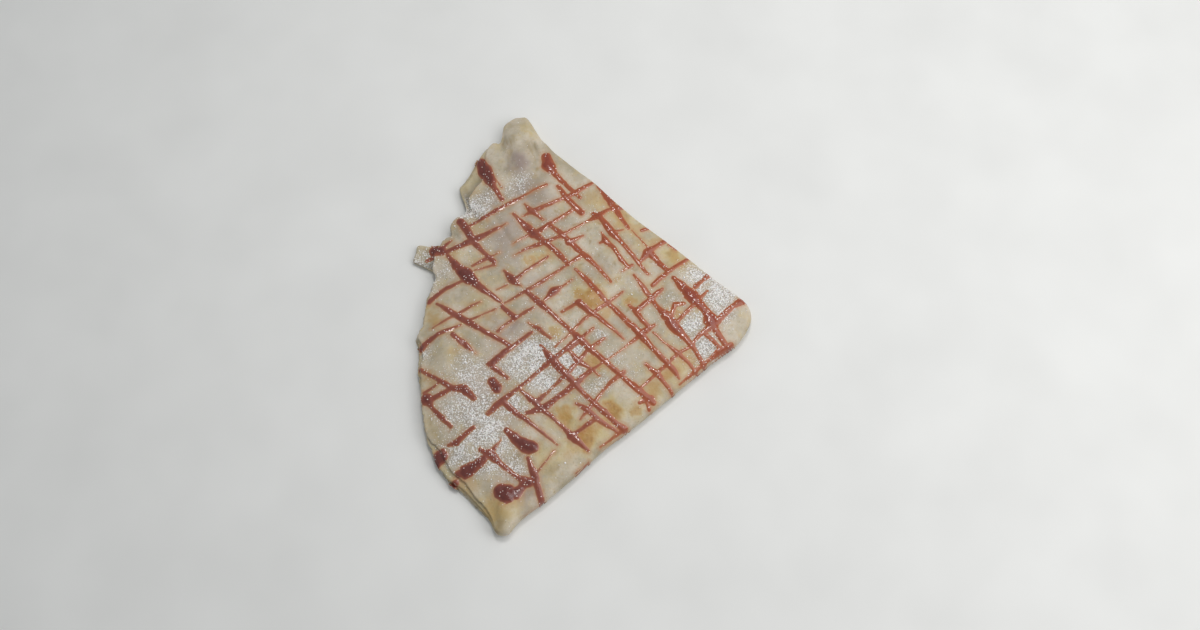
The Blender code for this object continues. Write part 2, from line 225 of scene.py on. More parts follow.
# The drizzle in its two passes. A stroke is a row of places: x, y, width there.
FALLING = (
    ((-61.9, 99, 5.8), (-59.1, 93.2, 7.9), (-55.9, 87.6, 6.7), (-51.5, 79, 3.3), (-46.9, 71.5, 2.6)),
    ((-51.6, 85.8, 0.8), (-47.5, 79.9, 1.4)),
    ((-21.1, 100.9, 5.4), (-19.6, 94.2, 7.6), (-15.6, 88.6, 3.6), (-8.3, 80.7, 2.8), (0.1, 72.3, 2.1)),
    ((-13.4, 80.3, 2.4), (-7.5, 71.3, 3.6), (-2.6, 66.5, 3.8), (0.9, 62.5, 3.9)),
    ((-33.4, 68.5, 1.3), (-28.8, 63.4, 3.4), (-25.7, 61.3, 2.4), (-21.7, 57.9, 1.7)),
    ((-39.8, 61.6, 2.1), (-29.3, 51.1, 4.8), (-21, 43.4, 3.4), (-13.2, 36.8, 3.4), (-6, 28.5, 2.6)),
    ((-18.4, 54.7, 2.5), (-10.3, 47.8, 3.4), (2, 35.6, 3.4), (11.3, 26.4, 2.3), (19, 17.1, 1.8)),
    ((-72.1, 58.5, 4.8), (-67.2, 51.6, 4.9), (-63.4, 44.7, 4.2), (-56.7, 36.9, 2.8), (-50.5, 31.3, 3.2)),
    ((-78.2, 36.1, 2.6), (-72.4, 28.3, 4.9), (-66.1, 22.4, 8), (-58.2, 15.1, 4.3), (-45.6, 5.8, 2.6)),
    ((-83.1, 5.2, 1.9), (-74.7, 0, 3.4), (-66.1, -5.6, 4.2), (-53.1, -13.5, 3), (-39.4, -21.2, 3)),
    ((-72.5, -14.4, 3), (-65, -20.8, 3.6), (-58.4, -26.2, 1.1)),
    ((-44.1, 2.4, 2.6), (-36.6, -4.4, 3.7)),
    ((-43.9, 25.2, 2), (-39, 19.1, 5), (-32.5, 14.3, 1)),
    ((-29.8, 11.2, 2.9), (-23.1, 4.7, 4.2), (-15.2, -2.4, 2.8), (-3.5, -13.5, 2.7), (1, -18, 4.4)),
    ((1.6, -18.5, 4.4), (9.1, -25.7, 3.4), (24.7, -39.8, 2.8), (33.5, -47.5, 3.8), (43.1, -55.5, 3.5)),
    ((-28.6, -8, 1.4), (-22.8, -11.8, 2.7), (-15.5, -17.9, 2)),
    (
        (-20.9, -22.3, 1.9), (-14.9, -30.3, 4.3), (-6.6, -39.3, 4.2),
        (4.4, -50.9, 2.7), (15.7, -61.8, 3.4),
    ),
    ((15.7, -61.7, 3.4), (21.3, -66.9, 3), (26.9, -71.2, 4.1)),
    ((0.3, -56.7, 2), (6.1, -60.4, 3.2), (12.4, -66, 2.9), (22.8, -72.5, 2)),
    ((-31.2, -49.3, 2.3), (-23.5, -55.8, 3.9), (-9.2, -68.5, 2.2), (-0.8, -76.7, 4.3), (6.8, -83.3, 2)),
    (
        (-41.2, -55.9, 3.2), (-34.3, -61.9, 3.4), (-29.3, -64.9, 3),
        (-19.4, -72.9, 2.3), (-10, -80.6, 1.5),
    ),
    ((-50.6, -32.6, 3.2), (-39.7, -41.3, 2.6)),
    ((-48.3, -43.2, 5.3), (-45.2, -47.4, 5.9)),
    (
        (-90.8, -34.8, 2.6), (-82.1, -40.2, 2.6), (-70.9, -47.2, 3.5),
        (-64.1, -47.6, 5), (-58.2, -53.5, 3.6),
    ),
    ((-85.8, -52.9, 6.6), (-81.9, -58.5, 2.5), (-76.4, -64.3, 3.2), (-70.6, -69.5, 2.5)),
    ((-53.4, -83.4, 2.7), (-47.3, -86, 5), (-40.7, -92.1, 2.9), (-32.1, -98.7, 3), (-27.2, -101.2, 4.6)),
    ((-38.7, -72.1, 3.5), (-33.4, -77.2, 5.8), (-28.4, -81, 7.1), (-24.8, -81.9, 7.5)),
    ((-26.4, -88.1, 2.5), (-22.9, -97, 4.3), (-18.7, -110.9, 3.5), (-16.5, -116.9, 4.2)),
    ((-40.6, -107, 8.4), (-37.3, -108.1, 10.1), (-33.2, -108.3, 6.6), (-27, -102.3, 3.7)),
    ((11.1, 81.3, 3.2), (17.1, 72.1, 4.2), (22, 63.7, 3.6), (25.2, 58.3, 2.6), (28.9, 52.3, 2.4)),
    ((30.9, 51.2, 0.8), (35.3, 45.8, 1.1), (41, 38.5, 1.1)),
    ((41.2, 36.7, 4.5), (47.1, 29.1, 3.1), (52.1, 24.1, 2.9)),
    ((55.5, 19.4, 2.6), (60.5, 13.7, 5), (65.7, 7.9, 7.3), (72.8, -0.3, 4.6), (77.1, -6.5, 6.6)),
    ((75.9, -7.2, 6.5), (80.3, -14.7, 3.3), (84.8, -21.7, 3), (88.8, -25.5, 5.8)),
    (
        (8.2, 61.4, 2.8), (11.9, 59.2, 3.1), (19.4, 48.9, 4.3),
        (25.4, 41.9, 2.5), (31.2, 34.5, 2.6), (40.4, 22, 2),
    ),
    ((13.1, 49.2, 1), (15.1, 44, 3.4), (20.2, 38.8, 2.7), (24.9, 31.4, 2.7), (29.2, 26.5, 2)),
    ((-1.7, 25, 1.8), (5.3, 17.8, 3.2), (15.8, 5.7, 2.7), (27.5, -6.5, 3.2), (36.9, -16.2, 4.2)),
    ((36.7, -16.1, 4.2), (43.4, -24.4, 3), (55.2, -37.2, 3.2), (58.2, -41.5, 1.6)),
    ((0.5, 3.8, 3.9), (6.1, -1.2, 3.6), (10.9, -4, 3), (22.7, -14.5, 1.9), (26.8, -18.3, 1.3)),
    ((32.3, 21.2, 1.6), (37.7, 13.8, 2.8), (41.4, 8, 3.1), (45.8, 1.4, 2.4), (50.4, -4.4, 4.7)),
    ((50.8, -3.3, 4.6), (54.6, -10, 6.2), (63.7, -20.2, 3.3), (67.9, -25.9, 2.5), (73.6, -36.4, 2.8)),
    ((29.7, 2.5, 1.8), (33.4, -1.1, 3.6), (36.6, -6.8, 2.8), (40.6, -11.1, 2.5)),
    ((43.4, -14.4, 1.3), (49.3, -20.3, 1.3), (57.3, -27, 2.6), (63.2, -32.1, 2), (69.1, -39.8, 1.8)),
    ((39.2, -33.4, 1.9), (45.5, -39.1, 3.3), (50.5, -45.1, 2.4), (54.6, -51, 1.9)),
    ((-5.6, -24.1, 1.7), (0.9, -31.7, 3.9), (8.8, -36.7, 1.8), (12.8, -40.5, 1.3)),
    ((72.1, -15, 2.5), (78.2, -19.8, 2.4), (84.3, -26.6, 1.9)),
    ((12.4, -22.1, 0.9), (14.8, -18.2, 1)),
)
RISING = (
    ((-66.1, 54.7, 2.3), (-49.8, 64.5, 2.8), (-40.6, 70.2, 2.5), (-30.3, 76.2, 1.4), (-20.6, 81, 1.9)),
    ((-34.3, 60.4, 1.4), (-27.6, 63.6, 2.9), (-10.9, 71.5, 2.1), (-3.4, 75.6, 2.9), (6.9, 83, 2)),
    ((-87, 40.8, 6.8), (-82.7, 39.6, 5.9), (-80, 43.5, 2.3), (-76.9, 46.1, 1.9)),
    ((-91.3, 34.9, 2.5), (-86.7, 37.3, 2.7)),
    ((-85.1, 37.8, 3.1), (-79.1, 38.6, 3.1), (-63.7, 44.9, 4.2), (-50, 51.9, 2.6), (-43.6, 55.2, 1.1)),
    ((-27.8, 48.2, 4.5), (-24.4, 50.4, 3.6), (-18.8, 54.4, 2.8), (-11.2, 59.5, 2.1), (-2.6, 65.9, 2.2)),
    ((-39.2, 42.3, 1), (-29.8, 48.3, 2)),
    ((-38.3, 34.5, 1.1), (-30, 39.4, 2.2), (-21.1, 42.8, 3.2), (-12.7, 45.9, 2.2), (3.6, 56.1, 1.4)),
    ((4, 56.5, 1.4), (10.3, 59.6, 3.8), (16.7, 64.3, 2.3), (25.4, 67.2, 3.8)),
    ((-6.4, 42.6, 3.8), (2.1, 47.1, 1.3)),
    ((-63.2, 28.4, 2), (-56.1, 32.3, 2.5), (-47.2, 36.9, 1.1)),
    ((-61.4, 25.7, 1.5), (-49.6, 29.2, 2)),
    ((-37.1, 18.9, 2.9), (-31.3, 24.2, 2.2), (-18.3, 34, 1.9)),
    ((-87.9, 6.9, 3.5), (-83.7, 10.6, 2.9), (-77.7, 15, 2.9), (-67.9, 19.5, 2)),
    ((-69, -1.1, 2.2), (-62.4, 3.3, 1.8), (-56.9, 5.6, 1.3)),
    ((-85, -10, 1.3), (-78.3, -6, 1.9), (-73, -3, 1.6)),
    ((-63.8, -5.9, 2.2), (-56.2, -2.8, 1.4), (-47.9, 1.2, 1.6)),
    ((-47.8, 12.8, 1.2), (-41.8, 16.1, 1.5)),
    ((-44.4, 4, 1.5), (-36, 8.7, 2), (-22.8, 16.8, 2.5), (-10.3, 25.7, 1.8), (1.1, 33.9, 2.7)),
    ((-91, -21.9, 4.3), (-87.3, -18.2, 3.3), (-80.8, -14.2, 3), (-68.2, -8.7, 1.9)),
    ((-46, -13.1, 2.2), (-40, -7.4, 2.2), (-30.7, -1.6, 2.3), (-25.9, 1.2, 1.6)),
    ((-48.3, -32, 4.5), (-42.4, -26.2, 3.8), (-36.8, -21.9, 3), (-26.6, -13.7, 2.5)),
    ((-19.4, 6.1, 2), (-14.4, 12, 5.2), (-8.7, 15.1, 1.3), (-3.6, 19.1, 1)),
    ((-9.3, -1.5, 1.8), (-4.3, 1.5, 2.1), (0.8, 4.9, 2.8)),
    ((-49.9, -62.6, 2.7), (-45, -57.5, 3.9), (-33, -47.7, 2.5), (-22.2, -38, 2.4), (-14.7, -31.1, 3.6)),
    ((-14.7, -31.8, 3.6), (-9.4, -27.3, 2.9), (-0.6, -19.9, 4.1), (3.7, -16.4, 2.2), (9.2, -11.9, 1.6)),
    ((-12.7, -23.3, 1.5), (-6.6, -17.8, 1.4), (3.1, -6.6, 2), (15.5, 2.7, 2.2), (25.8, 10.7, 1.3)),
    ((-21.8, -54.7, 3.3), (-16, -49.6, 1.8), (-4.1, -37.7, 2.9), (6.2, -24.7, 2.4), (15.4, -18.1, 1.6)),
    ((-27.8, -62, 2.8), (-18.3, -59.1, 4.5), (-11.6, -53.8, 3.2), (1.1, -43.8, 3.7), (7, -37.9, 2.5)),
    ((7.3, -38.2, 2.5), (13.2, -33.7, 1.5), (19.9, -29.2, 1.2), (27.7, -23, 1.2)),
    ((27.8, -22.4, 1.2), (32.7, -18.9, 2.2), (38.3, -14, 3.6), (44.3, -10.2, 1.8)),
    ((-3.2, -75.7, 3.5), (1.6, -72.4, 2.5), (7.7, -68.1, 2.8), (11.5, -65.4, 2.7)),
    ((2.4, -65.9, 1.4), (8.3, -58.5, 2.6), (15.7, -48, 1.7), (19.4, -43.9, 2.3), (26.8, -38.3, 2.4)),
    ((35.9, -47.7, 1.6), (41.6, -42.3, 1.9), (50.8, -33.8, 2.4), (57.2, -27.6, 2), (66.5, -22, 1.7)),
    ((34.1, -0.5, 3.2), (39.5, 3.8, 3.2), (46.6, 10.9, 2.9), (48.7, 12.6, 2)),
    ((43.2, 15.1, 2.8), (48.7, 20.4, 2.8), (54.5, 25, 2.5), (63.5, 32.1, 2.2)),
    ((35.7, 29.6, 2), (40.3, 36.2, 4.5), (45.4, 40.3, 2.5), (50.6, 44.1, 3.2)),
    ((19.1, 49.1, 2.1), (25.8, 50.8, 1.2)),
    ((36.9, 51, 2.2), (42.5, 53, 2)),
    ((52.8, 41.6, 1.8), (57.1, 38.9, 2.2)),
    ((56.7, -8.8, 2.2), (62.2, -2.6, 2.1), (67.5, 3.1, 2.3), (75, 11.1, 1.6)),
    ((68.1, 14, 2.9), (71.8, 17.9, 2.1), (75.8, 21.9, 3)),
    ((54, -4.5, 2.3), (56, 2.6, 2.7), (61.2, 2.9, 2.5)),
    ((66.7, -20.4, 1.8), (70.7, -15.4, 2.6), (77.1, -10.9, 4.3), (88.8, 1.5, 3), (96.1, 6.4, 5)),
    ((87.9, -21.4, 3.3), (81.1, -25.3, 3.5), (73.9, -31.2, 1.9), (65.8, -38.3, 1.9), (58.2, -44.9, 1.1)),
    ((35.6, -56.1, 2.2), (42.7, -52.9, 2.7)),
    ((38.3, -51.2, 2.1), (40.9, -59.7, 2.1)),
    ((-21.2, -96.4, 1.5), (-16, -89.7, 1.3), (-11.7, -83.7, 1.4)),
    (
        (-65.5, -96.4, 4.2), (-61.2, -95.2, 7.5), (-54.5, -91.4, 5.5),
        (-46.9, -84.1, 3.1), (-41.8, -77.3, 1.1),
    ),
    ((-71.7, -80, 2.3), (-66.6, -78.7, 3.9), (-62.3, -74.5, 3), (-57.6, -70.5, 2.7)),
    ((-78.7, -89.5, 6.8), (-76, -86.1, 7.8), (-74.8, -83.2, 3.6)),
    ((-69.6, -103.2, 4), (-67.2, -101.2, 4.3)),
    ((-87.6, -49, 2.2), (-82.3, -46, 1.9), (-78.7, -43.3, 1.5)),
    ((-87, -54.1, 3.4), (-82, -52.8, 3.3), (-76, -49.8, 3.1), (-71.9, -47.4, 2.9)),
    ((-28.4, -102.3, 4.9), (-25.4, -101.7, 5.2)),
    ((0.5, -96.3, 1.6), (4.1, -93.4, 1.9), (7.3, -89.7, 1.3)),
    ((-17.9, -115.7, 4.2), (-22.2, -119, 3.2), (-26.2, -121.7, 2.5)),
    ((13.4, -81.6, 1.1), (20.4, -76.4, 1.4), (26.6, -71.1, 2.3)),
    ((25.4, 23.8, 1), (31.3, 28.1, 1.8)),
    ((12.3, 42.3, 1.6), (15.8, 44.1, 2.4)),
)
# The sauce, in mm. A stroke stands by this share of its half width, and more by its square.
SAUCE_RISES = (0.17, 0.035)
# The fine grid's cell, and how far the sauce stays inside the outline.
SAUCE_CELL = 0.5
SAUCE_RIM = 0.2
# How much wider than its row a stroke ran, how it slopes off, how round it is, and how
# sharply two strokes join. Its edges wobble and its height is uneven.
SAUCE_SPREAD = 1.16
SAUCE_SLOPE = 0.7
SAUCE_FULLNESS = 1.25
SAUCE_JOIN = 7.0
SAUCE_WOBBLE = 0.2
SAUCE_UNEVEN = 0.08
# The sheet's edge dips into the leaf, and its back lies inside the crepe.
SAUCE_DIP = 0.2
SAUCE_BACKING = 0.6
SAUCE_BACK_ANGLE = 4.0
# The thickness that counts as the deepest, as none, and the gap where none is near.
SAUCE_DEEPEST = 1.15
NO_SAUCE = -3.0
FAR_FROM_SAUCE = 50.0
# How far the sauce soaks into the leaf beside a stroke.
STAIN_REACH = 1.3
# Painted glints on the sauce, white specks in its colour that stand in for highlights, are this far apart.
PAINTED_GLINT_SPACING = 2.1
# The sauce turns lighter and more orange as x, and a little y, grow: from the left towards the nose.
SAUCE_WARM_FROM = -45.0
SAUCE_WARM_OVER = 75.0
SAUCE_WARM_SLANT = 0.3

# The top is marked from this height up, over a rise of 1 mm.
MARKED_FROM = 2.4
# Places on the top leaf: x, y, radius, strength.
BROWNED = (
    (9, 7.5, 7, 1.0), (0, 10, 3, 0.7), (30, 6, 3, 0.8), (9, -31, 4.2, 0.9), (-7, -61, 5, 0.7),
    (6, -75, 6, 1.0), (20, -59, 5, 0.95), (33, -60, 3, 0.7), (44, -47, 5, 0.7), (52, -39, 4.4, 0.85),
    (57, -34, 4, 0.3), (-28, 32, 3, 0.8), (-18, 36, 3, 0.5), (55, 34.5, 4.2, 0.6), (33, 53, 4, 0.4),
    (7, 71, 5, 0.35), (-65, 80, 4, 0.3), (-74, 36, 4, 0.3), (-13, -14, 3, 0.6), (17, -2, 3, 0.6),
    (22, 18, 2, 0.5), (57, -3, 3, 1.0), (-84, -4, 5, 0.5), (-44, -117, 8, 0.4), (-85, -41, 5, 0.35),
    (-59, -102, 7, 0.4), (62, 28, 4, 0.5), (24, 60, 6, 0.45), (-65, 64, 4, 0.25), (-72, -25, 3, 0.35),
    (66, -32, 3, 0.6), (15, -36, 3, 0.5), (14, -33, 2, 0.5), (40, -22, 3, 0.3), (-51, -4, 3, 0.3),
    (15, -68, 3, 0.6), (40, -53, 3, 0.6), (62, -26, 3, 0.4), (72, 14, 3, 0.5), (-23, 35, 2, 0.6),
    (-6, -66, 4, 0.7), (5, -80, 4, 0.8), (11, -71, 3, 0.6), (22, -63, 3.4, 0.8), (17, -56, 2.4, 0.6),
    (16, 70, 4, 0.5), (44, 42, 4, 0.5), (-4, -85, 5, 0.35), (-33, -112, 4, 0.3), (-89, 4, 3, 0.3),
)
# How far the patches' edges wander, and how sharp they are.
BROWNED_WAVE = 2.2
BROWNED_EDGE = 7
# Round each browned place the batter is yellow: how far, how strong.
FRINGE = 2.2
FRINGE_STRENGTH = 0.65
YELLOWED = (
    (55, 35, 7, 0.7), (66, 26, 5, 0.5), (57, -34, 6, 0.5), (33, 53, 6, 0.4), (-74, 36, 7, 0.4),
    (24, 60, 7, 0.5), (-41, -117, 9, 0.6), (-4, -67, 6, 0.5), (-17, -89, 8, 0.5), (-7, -81, 6, 0.4),
    (16, -74, 5, 0.5), (36, 42, 5, 0.4), (-61, 52, 6, 0.3), (-57, 8, 9, 0.3), (40, -54, 6, 0.4),
    (44, 16, 6, 0.3), (8, 58, 6, 0.35), (20, 38, 5, 0.3), (-30, 121, 8, 0.3), (-83, -67, 7, 0.3),
)
# Olive-brown spots of the batter: x, y, radius, strength. Some are painted shade: (-30, 106) and (-44, 102)
# darken the crease round the top tip's lump, and (-42, -126) darkens the opening of the bottom tip's curl.
OLIVE_SPOTS_AND_PAINTED_SHADE = (
    (-13, -96, 3, 0.7), (-9, -93, 2, 0.6), (-2, -67, 2, 0.5), (-33, -88, 2.5, 0.6), (-84, -65, 3, 0.5),
    (-30, 106, 3, 0.6), (-44, 102, 3, 0.5), (22, -63, 2.5, 0.5), (-71, 80, 3, 0.6), (-66, 90, 2, 0.5),
    (53, 36, 2, 0.6), (-42, -126, 3, 0.8), (-56, -112, 3, 0.4), (28, 62, 1.6, 0.6), (-4, -79, 2, 0.5),
    (-80, -71, 4, 0.35), (-76, -82, 4, 0.3), (-24, 29, 2, 0.6), (-46, 112, 1.4, 1.0), (-43, 111, 1, 0.8),
)
SMALL_SPOTS = (
    (11, 33), (-15, 64), (-5, 38), (-33, -88), (-9, -93), (-13, -96), (25, 70), (36, 57), (18, 64),
    (-21, 28), (-12, 42), (2, 28), (28, 0), (35, 12), (-59, 18), (-30, 56), (5, 50), (48, 6),
    (-9, 60), (12, 55), (20, 29), (6, 42), (-2, 54), (33, 26), (43, 31), (24, 10), (-24, 90),
)
FILLING_SHADES = (
    (-37, 96, 7, 1.0), (-27, 76, 11, 0.65), (-34, 78, 6, 0.5), (-44, 48, 10, 0.7), (-41, 58, 9, 0.55),
    (-37, -10, 5, 0.8), (-49, -5, 5, 0.7), (-34, 33, 8, 0.35), (-27, 18, 7, 0.4), (-22, 12, 6, 0.4),
    (-30, -110, 7, 0.8), (-54, 73, 8, 0.5), (-47, 36, 8, 0.5), (-42, -14, 6, 0.5), (-31, -24, 10, 0.35),
    (-54, -48, 14, 0.55), (-40, -100, 9, 0.35), (-16, -42, 9, 0.25), (-46, -22, 9, 0.3), (-20, 60, 9, 0.3),
    (-8, 54, 8, 0.25), (1, -60, 8, 0.2), (12, 24, 9, 0.25),
    (-45, -67, 12, 0.3), (44, 22, 8, 0.2), (-23, 2, 9, 0.3), (22, -8, 9, 0.2), (-64, 10, 8, 0.2),
)
# Icing sugar fell from the hand in drifts: x, y, radius, strength.
SUGAR_DRIFTS = (
    (-24, -29, 12, 0.95), (-34, -35, 9, 0.6), (-61, -38, 13, 0.42), (-59, -58, 14, 0.42), (-64, -83, 9, 0.85),
    (-49, -71, 8, 0.95), (-34, -58, 6, 0.8), (-17, -44, 8, 0.7), (-4, -34, 5, 0.6), (1, -24, 4, 0.7),
    (1, -37, 4, 0.6), (65, -10, 7, 0.7), (80, 11, 10, 1.0), (73, -24, 8, 0.75), (65, 23, 6, 0.5),
    (-94, 35, 7, 0.9), (-86, 18, 5, 0.35), (-63, 66, 7, 0.9), (-71, 64, 4, 0.8), (-49, -91, 8, 0.6),
    (13, -16, 4, 0.5),
    (-4, -12, 4, 0.45), (84, -4, 7, 0.6), (72, 20, 6, 0.6), (-39, -83, 9, 0.5), (-73, -63, 7, 0.35),
    (54, 6, 8, 0.16), (46, -8, 8, 0.12), (-36, 82, 7, 0.35), (-55, 74, 6, 0.35), (-79, 28, 6, 0.3),
    (15, -44, 5, 0.5), (5, -50, 5, 0.4), (20, -30, 5, 0.3), (30, -35, 7, 0.15), (-11, -32, 6, 0.7),
    (-32, -93, 6, 0.5), (-87, -26, 4, 0.4), (-40, 78, 5, 0.4), (8, 60, 6, 0.15), (-19, 48, 8, 0.15),
    (0, 18, 14, 0.04), (-10, 53, 22, 0.03), (-29, 8, 25, 0.03), (25, 13, 24, 0.04), (-59, 48, 16, 0.07),
)
# The nose stayed clear: x, y, radius.
NO_SUGAR = (95, -12, 10)
# Sugar everywhere, how many grains are tried, and the share that stays on wet sauce.
SUGAR_BASE = 0.004
SUGAR_TRIES = 150000
ON_SAUCE = 0.14
# A grain's middle lies this share of its size above what it lies on, and it is squashed.
GRAIN_LIFT = 0.22
GRAIN_SQUASH = 0.8
# Kinds of sugar: name, share of what fell, smallest and largest size, which shape.
SUGAR_KINDS = (
    ("icing_sugar_dust", 0.8, 0.24, 0.46, 0),
    ("icing_sugar_grains", 0.185, 0.45, 0.8, 1),
    ("icing_sugar_clumps", 0.015, 0.85, 1.2, 2),
)

# The photograph's view: looking down and a little turned, from this far away.
VIEW_ELEVATION = 68.7
VIEW_ROLL = -7.9
VIEW_DISTANCE = 750.0
VIEW_TURN = 8.0
VIEW_OFFSET = (-4.894, -5.573, 7.5)
IMAGE_SIZE = (1200, 630)
VIEW_MIDDLE = (569.8, 320.7)
PIXEL_SIZE = 0.580
SENSOR_WIDTH = 36.0

# Colours of the finished food, as they look in daylight.
BATTER_PALE = "#cdc1ae"
BATTER_DEEP = "#aa9e86"
BATTER_YELLOW = "#c4b083"
BATTER_LACE = "#b59f78"
BROWNED_COLOUR = "#b08646"
BROWNED_DEEP = "#9c7138"
YELLOWED_COLOUR = "#cab57c"
LOWER_LEAF_COLOUR = "#c0b28e"
# Olive spots, and painted shade in the top tip's crease and the bottom tip's curl.
OLIVE_AND_SHADE_COLOUR = "#93794a"
PORE_COLOUR = "#968264"
FILLING_TINT = "#8f7c76"
STAIN_COLOUR = "#b5774a"
SUGAR_COLOUR = "#f4f2ef"
SUGAR_DAMP = "#ddd6d1"
SUGAR_FILM = "#9c938d"
# Painted highlight: the colour of the glints painted on the sauce.
PAINTED_GLINT_COLOUR = "#f3e2d9"
SAUCE_FILM = "#bd956c"
SAUCE_THIN = "#a3684c"
SAUCE_MID = "#8c4a39"
SAUCE_WARM = "#ad5526"
SAUCE_THICK = "#6c332c"
SAUCE_WARM_THICK = "#a3482c"
FLOOR_COLOUR = "#e9e8e5"
FLOOR_SHADE = "#e3e2df"

# Soft studio lights: name, place in mm, size in mm, watts. The window makes the glints.
LIGHTS = (
    ("overhead_softbox", (470, 180, 820), 900, 3.3),
    ("window", (60, 370, 900), 200, 2.0),
    ("side_softbox", (700, -200, 500), 500, 1.6),
)
WORLD_COLOUR = "#e6ebee"
WORLD_STRENGTH = 0.42
FLOOR_SIZE = 6000


def bump(distance, half_width):
    """A smooth bump: 1 in its middle, fading with the distance from it."""
    return np.exp(-((distance / half_width) ** 2))


def turn_between(angle, other):
    """The shortest turn from one direction to another, in degrees."""
    return (angle - other + 180) % 360 - 180


def smooth_step(value):
    """0 below 0, 1 above 1, with a smooth rise between."""
    share = np.clip(value, 0.0, 1.0)
    return share * share * (3 - 2 * share)


def within(angle, span, softness=4.0):
    """1 inside a span of directions and 0 outside it, with soft ends."""
    start, end = span
    depth_inside = (end - start) / 2 - np.abs(turn_between(angle, (start + end) / 2))
    return smooth_step(depth_inside / softness + 0.5)


def soft_noise(x, y, size, seed):
    """Smooth unevenness from -1 to 1, with lumps of about one size in mm."""
    table = np.random.default_rng(seed).uniform(-1, 1, (256, 256))
    u, v = np.asarray(x) / size + 100, np.asarray(y) / size + 100
    column, row = np.floor(u).astype(int), np.floor(v).astype(int)
    across, up = smooth_step(u - column), smooth_step(v - row)
    low = table[row % 256, column % 256] * (1 - across) + table[row % 256, (column + 1) % 256] * across
    row = row + 1
    high = table[row % 256, column % 256] * (1 - across) + table[row % 256, (column + 1) % 256] * across
    return low * (1 - up) + high * up


def patches(x, y, places, edge=2):
    """How strongly a place is marked by a list of round patches. A higher edge is a sharper one."""
    clear = np.ones_like(x)
    for patch_x, patch_y, radius, strength in places:
        away = np.hypot(x - patch_x, y - patch_y) / radius
        clear = clear * (1 - strength * np.exp(-(away**edge)))
    return 1 - clear


def direction_of(x, y):
    """The direction of a place from CENTRE, from 0 to 360 degrees."""
    return np.degrees(np.arctan2(y - CENTRE[1], x - CENTRE[0])) % 360


def distance_to_line(angle, point, direction):
    """How far CENTRE is from a line, looking along an angle. Looking away gives no limit."""
    normal = (-math.sin(math.radians(direction)), math.cos(math.radians(direction)))
    offset = (point[0] - CENTRE[0]) * normal[0] + (point[1] - CENTRE[1]) * normal[1]
    speed = np.cos(np.radians(angle)) * normal[0] + np.sin(np.radians(angle)) * normal[1]
    faces_it = offset * speed > 0
    return np.where(faces_it, offset / np.where(faces_it, speed, 1), np.inf)


def distance_to_free_edge(angle):
    """How far CENTRE is from the pancake's round edge, looking along an angle."""
    away = (FOLD_CROSSING[0] - CENTRE[0], FOLD_CROSSING[1] - CENTRE[1])
    along = np.cos(np.radians(angle)) * away[0] + np.sin(np.radians(angle)) * away[1]
    return along + np.sqrt(along**2 - away[0] ** 2 - away[1] ** 2 + PANCAKE_RADIUS**2)


def plain_outline(angle):
    """The fan's outline from CENTRE without its tabs: two folds, nose and free edge."""
    limits = (
        distance_to_line(angle, FOLD_CROSSING, UPPER_FOLD_DIRECTION),
        distance_to_line(angle, LOWER_FOLD_POINT, LOWER_FOLD_DIRECTION),
        distance_to_line(angle, (NOSE_X, 0), 90),
        distance_to_free_edge(angle),
    )
    return sum(limit ** -float(CORNER_SHARPNESS) for limit in limits) ** (-1 / CORNER_SHARPNESS)


def tab_reach(angle, tabs):
    """How far a list of tabs and notches reaches out at a direction."""
    reach = np.zeros_like(angle)
    for direction, before, after, out in tabs:
        turn = turn_between(angle, direction)
        reach = reach + out * bump(turn, np.where(turn < 0, before, after))
    return reach


def outline_radius(angle):
    """The fan's outline from CENTRE, with the tabs and notches of its free edge."""
    return plain_outline(angle) + tab_reach(angle, TABS + LOW_TABS)


def leaf_radius(angle, leaf):
    """The outline of one leaf, counted from the bottom. The folds keep all leaves together."""
    held_back = LEAF_INSET + LEAF_WAVE * np.sin(np.radians(angle) * (7 + 2 * leaf) + 2.1 * leaf)
    for held_leaf, direction, half_width, back in SHOWING_LEAVES:
        if leaf == held_leaf:
            held_back = held_back + back * bump(turn_between(angle, direction), half_width)
    radius = outline_radius(angle)
    if leaf >= LOW_LEAVES:
        radius = radius - tab_reach(angle, LOW_TABS)
    for number, (size, height) in enumerate(RAGGED):
        held_back = held_back + height * soft_noise(np.radians(angle) * radius, 40.0 * leaf, size, number)
    return radius - held_back * within(angle, FREE_EDGE)


def edge_height(angle):
    """The height of the fan's side: a little more over the folds than at the free edge."""
    return FOLD_HEIGHT + (EDGE_HEIGHT - FOLD_HEIGHT) * within(angle, FREE_EDGE)


def round_inset(share, depth):
    """How far a round side draws in at a share of its height."""
    return depth * (1 - math.sqrt(max(1 - (2 * share - 1) ** 2, 0)))


def side_radius(angle, leaf, share, inset, is_seam):
    """One level of the side: lips and seams at the free edge, round folds elsewhere."""
    level = (leaf + share) / LEAVES
    outline = outline_radius(angle)
    single_fold = outline - round_inset(level, FOLD_ROUNDING)
    if is_seam and 2 * level == LEAVES / 2:
        double_fold = outline - DOUBLE_SEAM_DEPTH
    else:
        double_fold = outline - round_inset((2 * level) % 1, DOUBLE_FOLD_ROUNDING)
    if is_seam:
        lip = np.minimum(leaf_radius(angle, leaf), leaf_radius(angle, leaf + 1)) - SEAM_DEPTH
    else:
        lip = leaf_radius(angle, leaf) - inset
    folded = single_fold + (double_fold - single_fold) * within(angle, DOUBLE_FOLD)
    return folded + (lip - folded) * within(angle, FREE_EDGE)


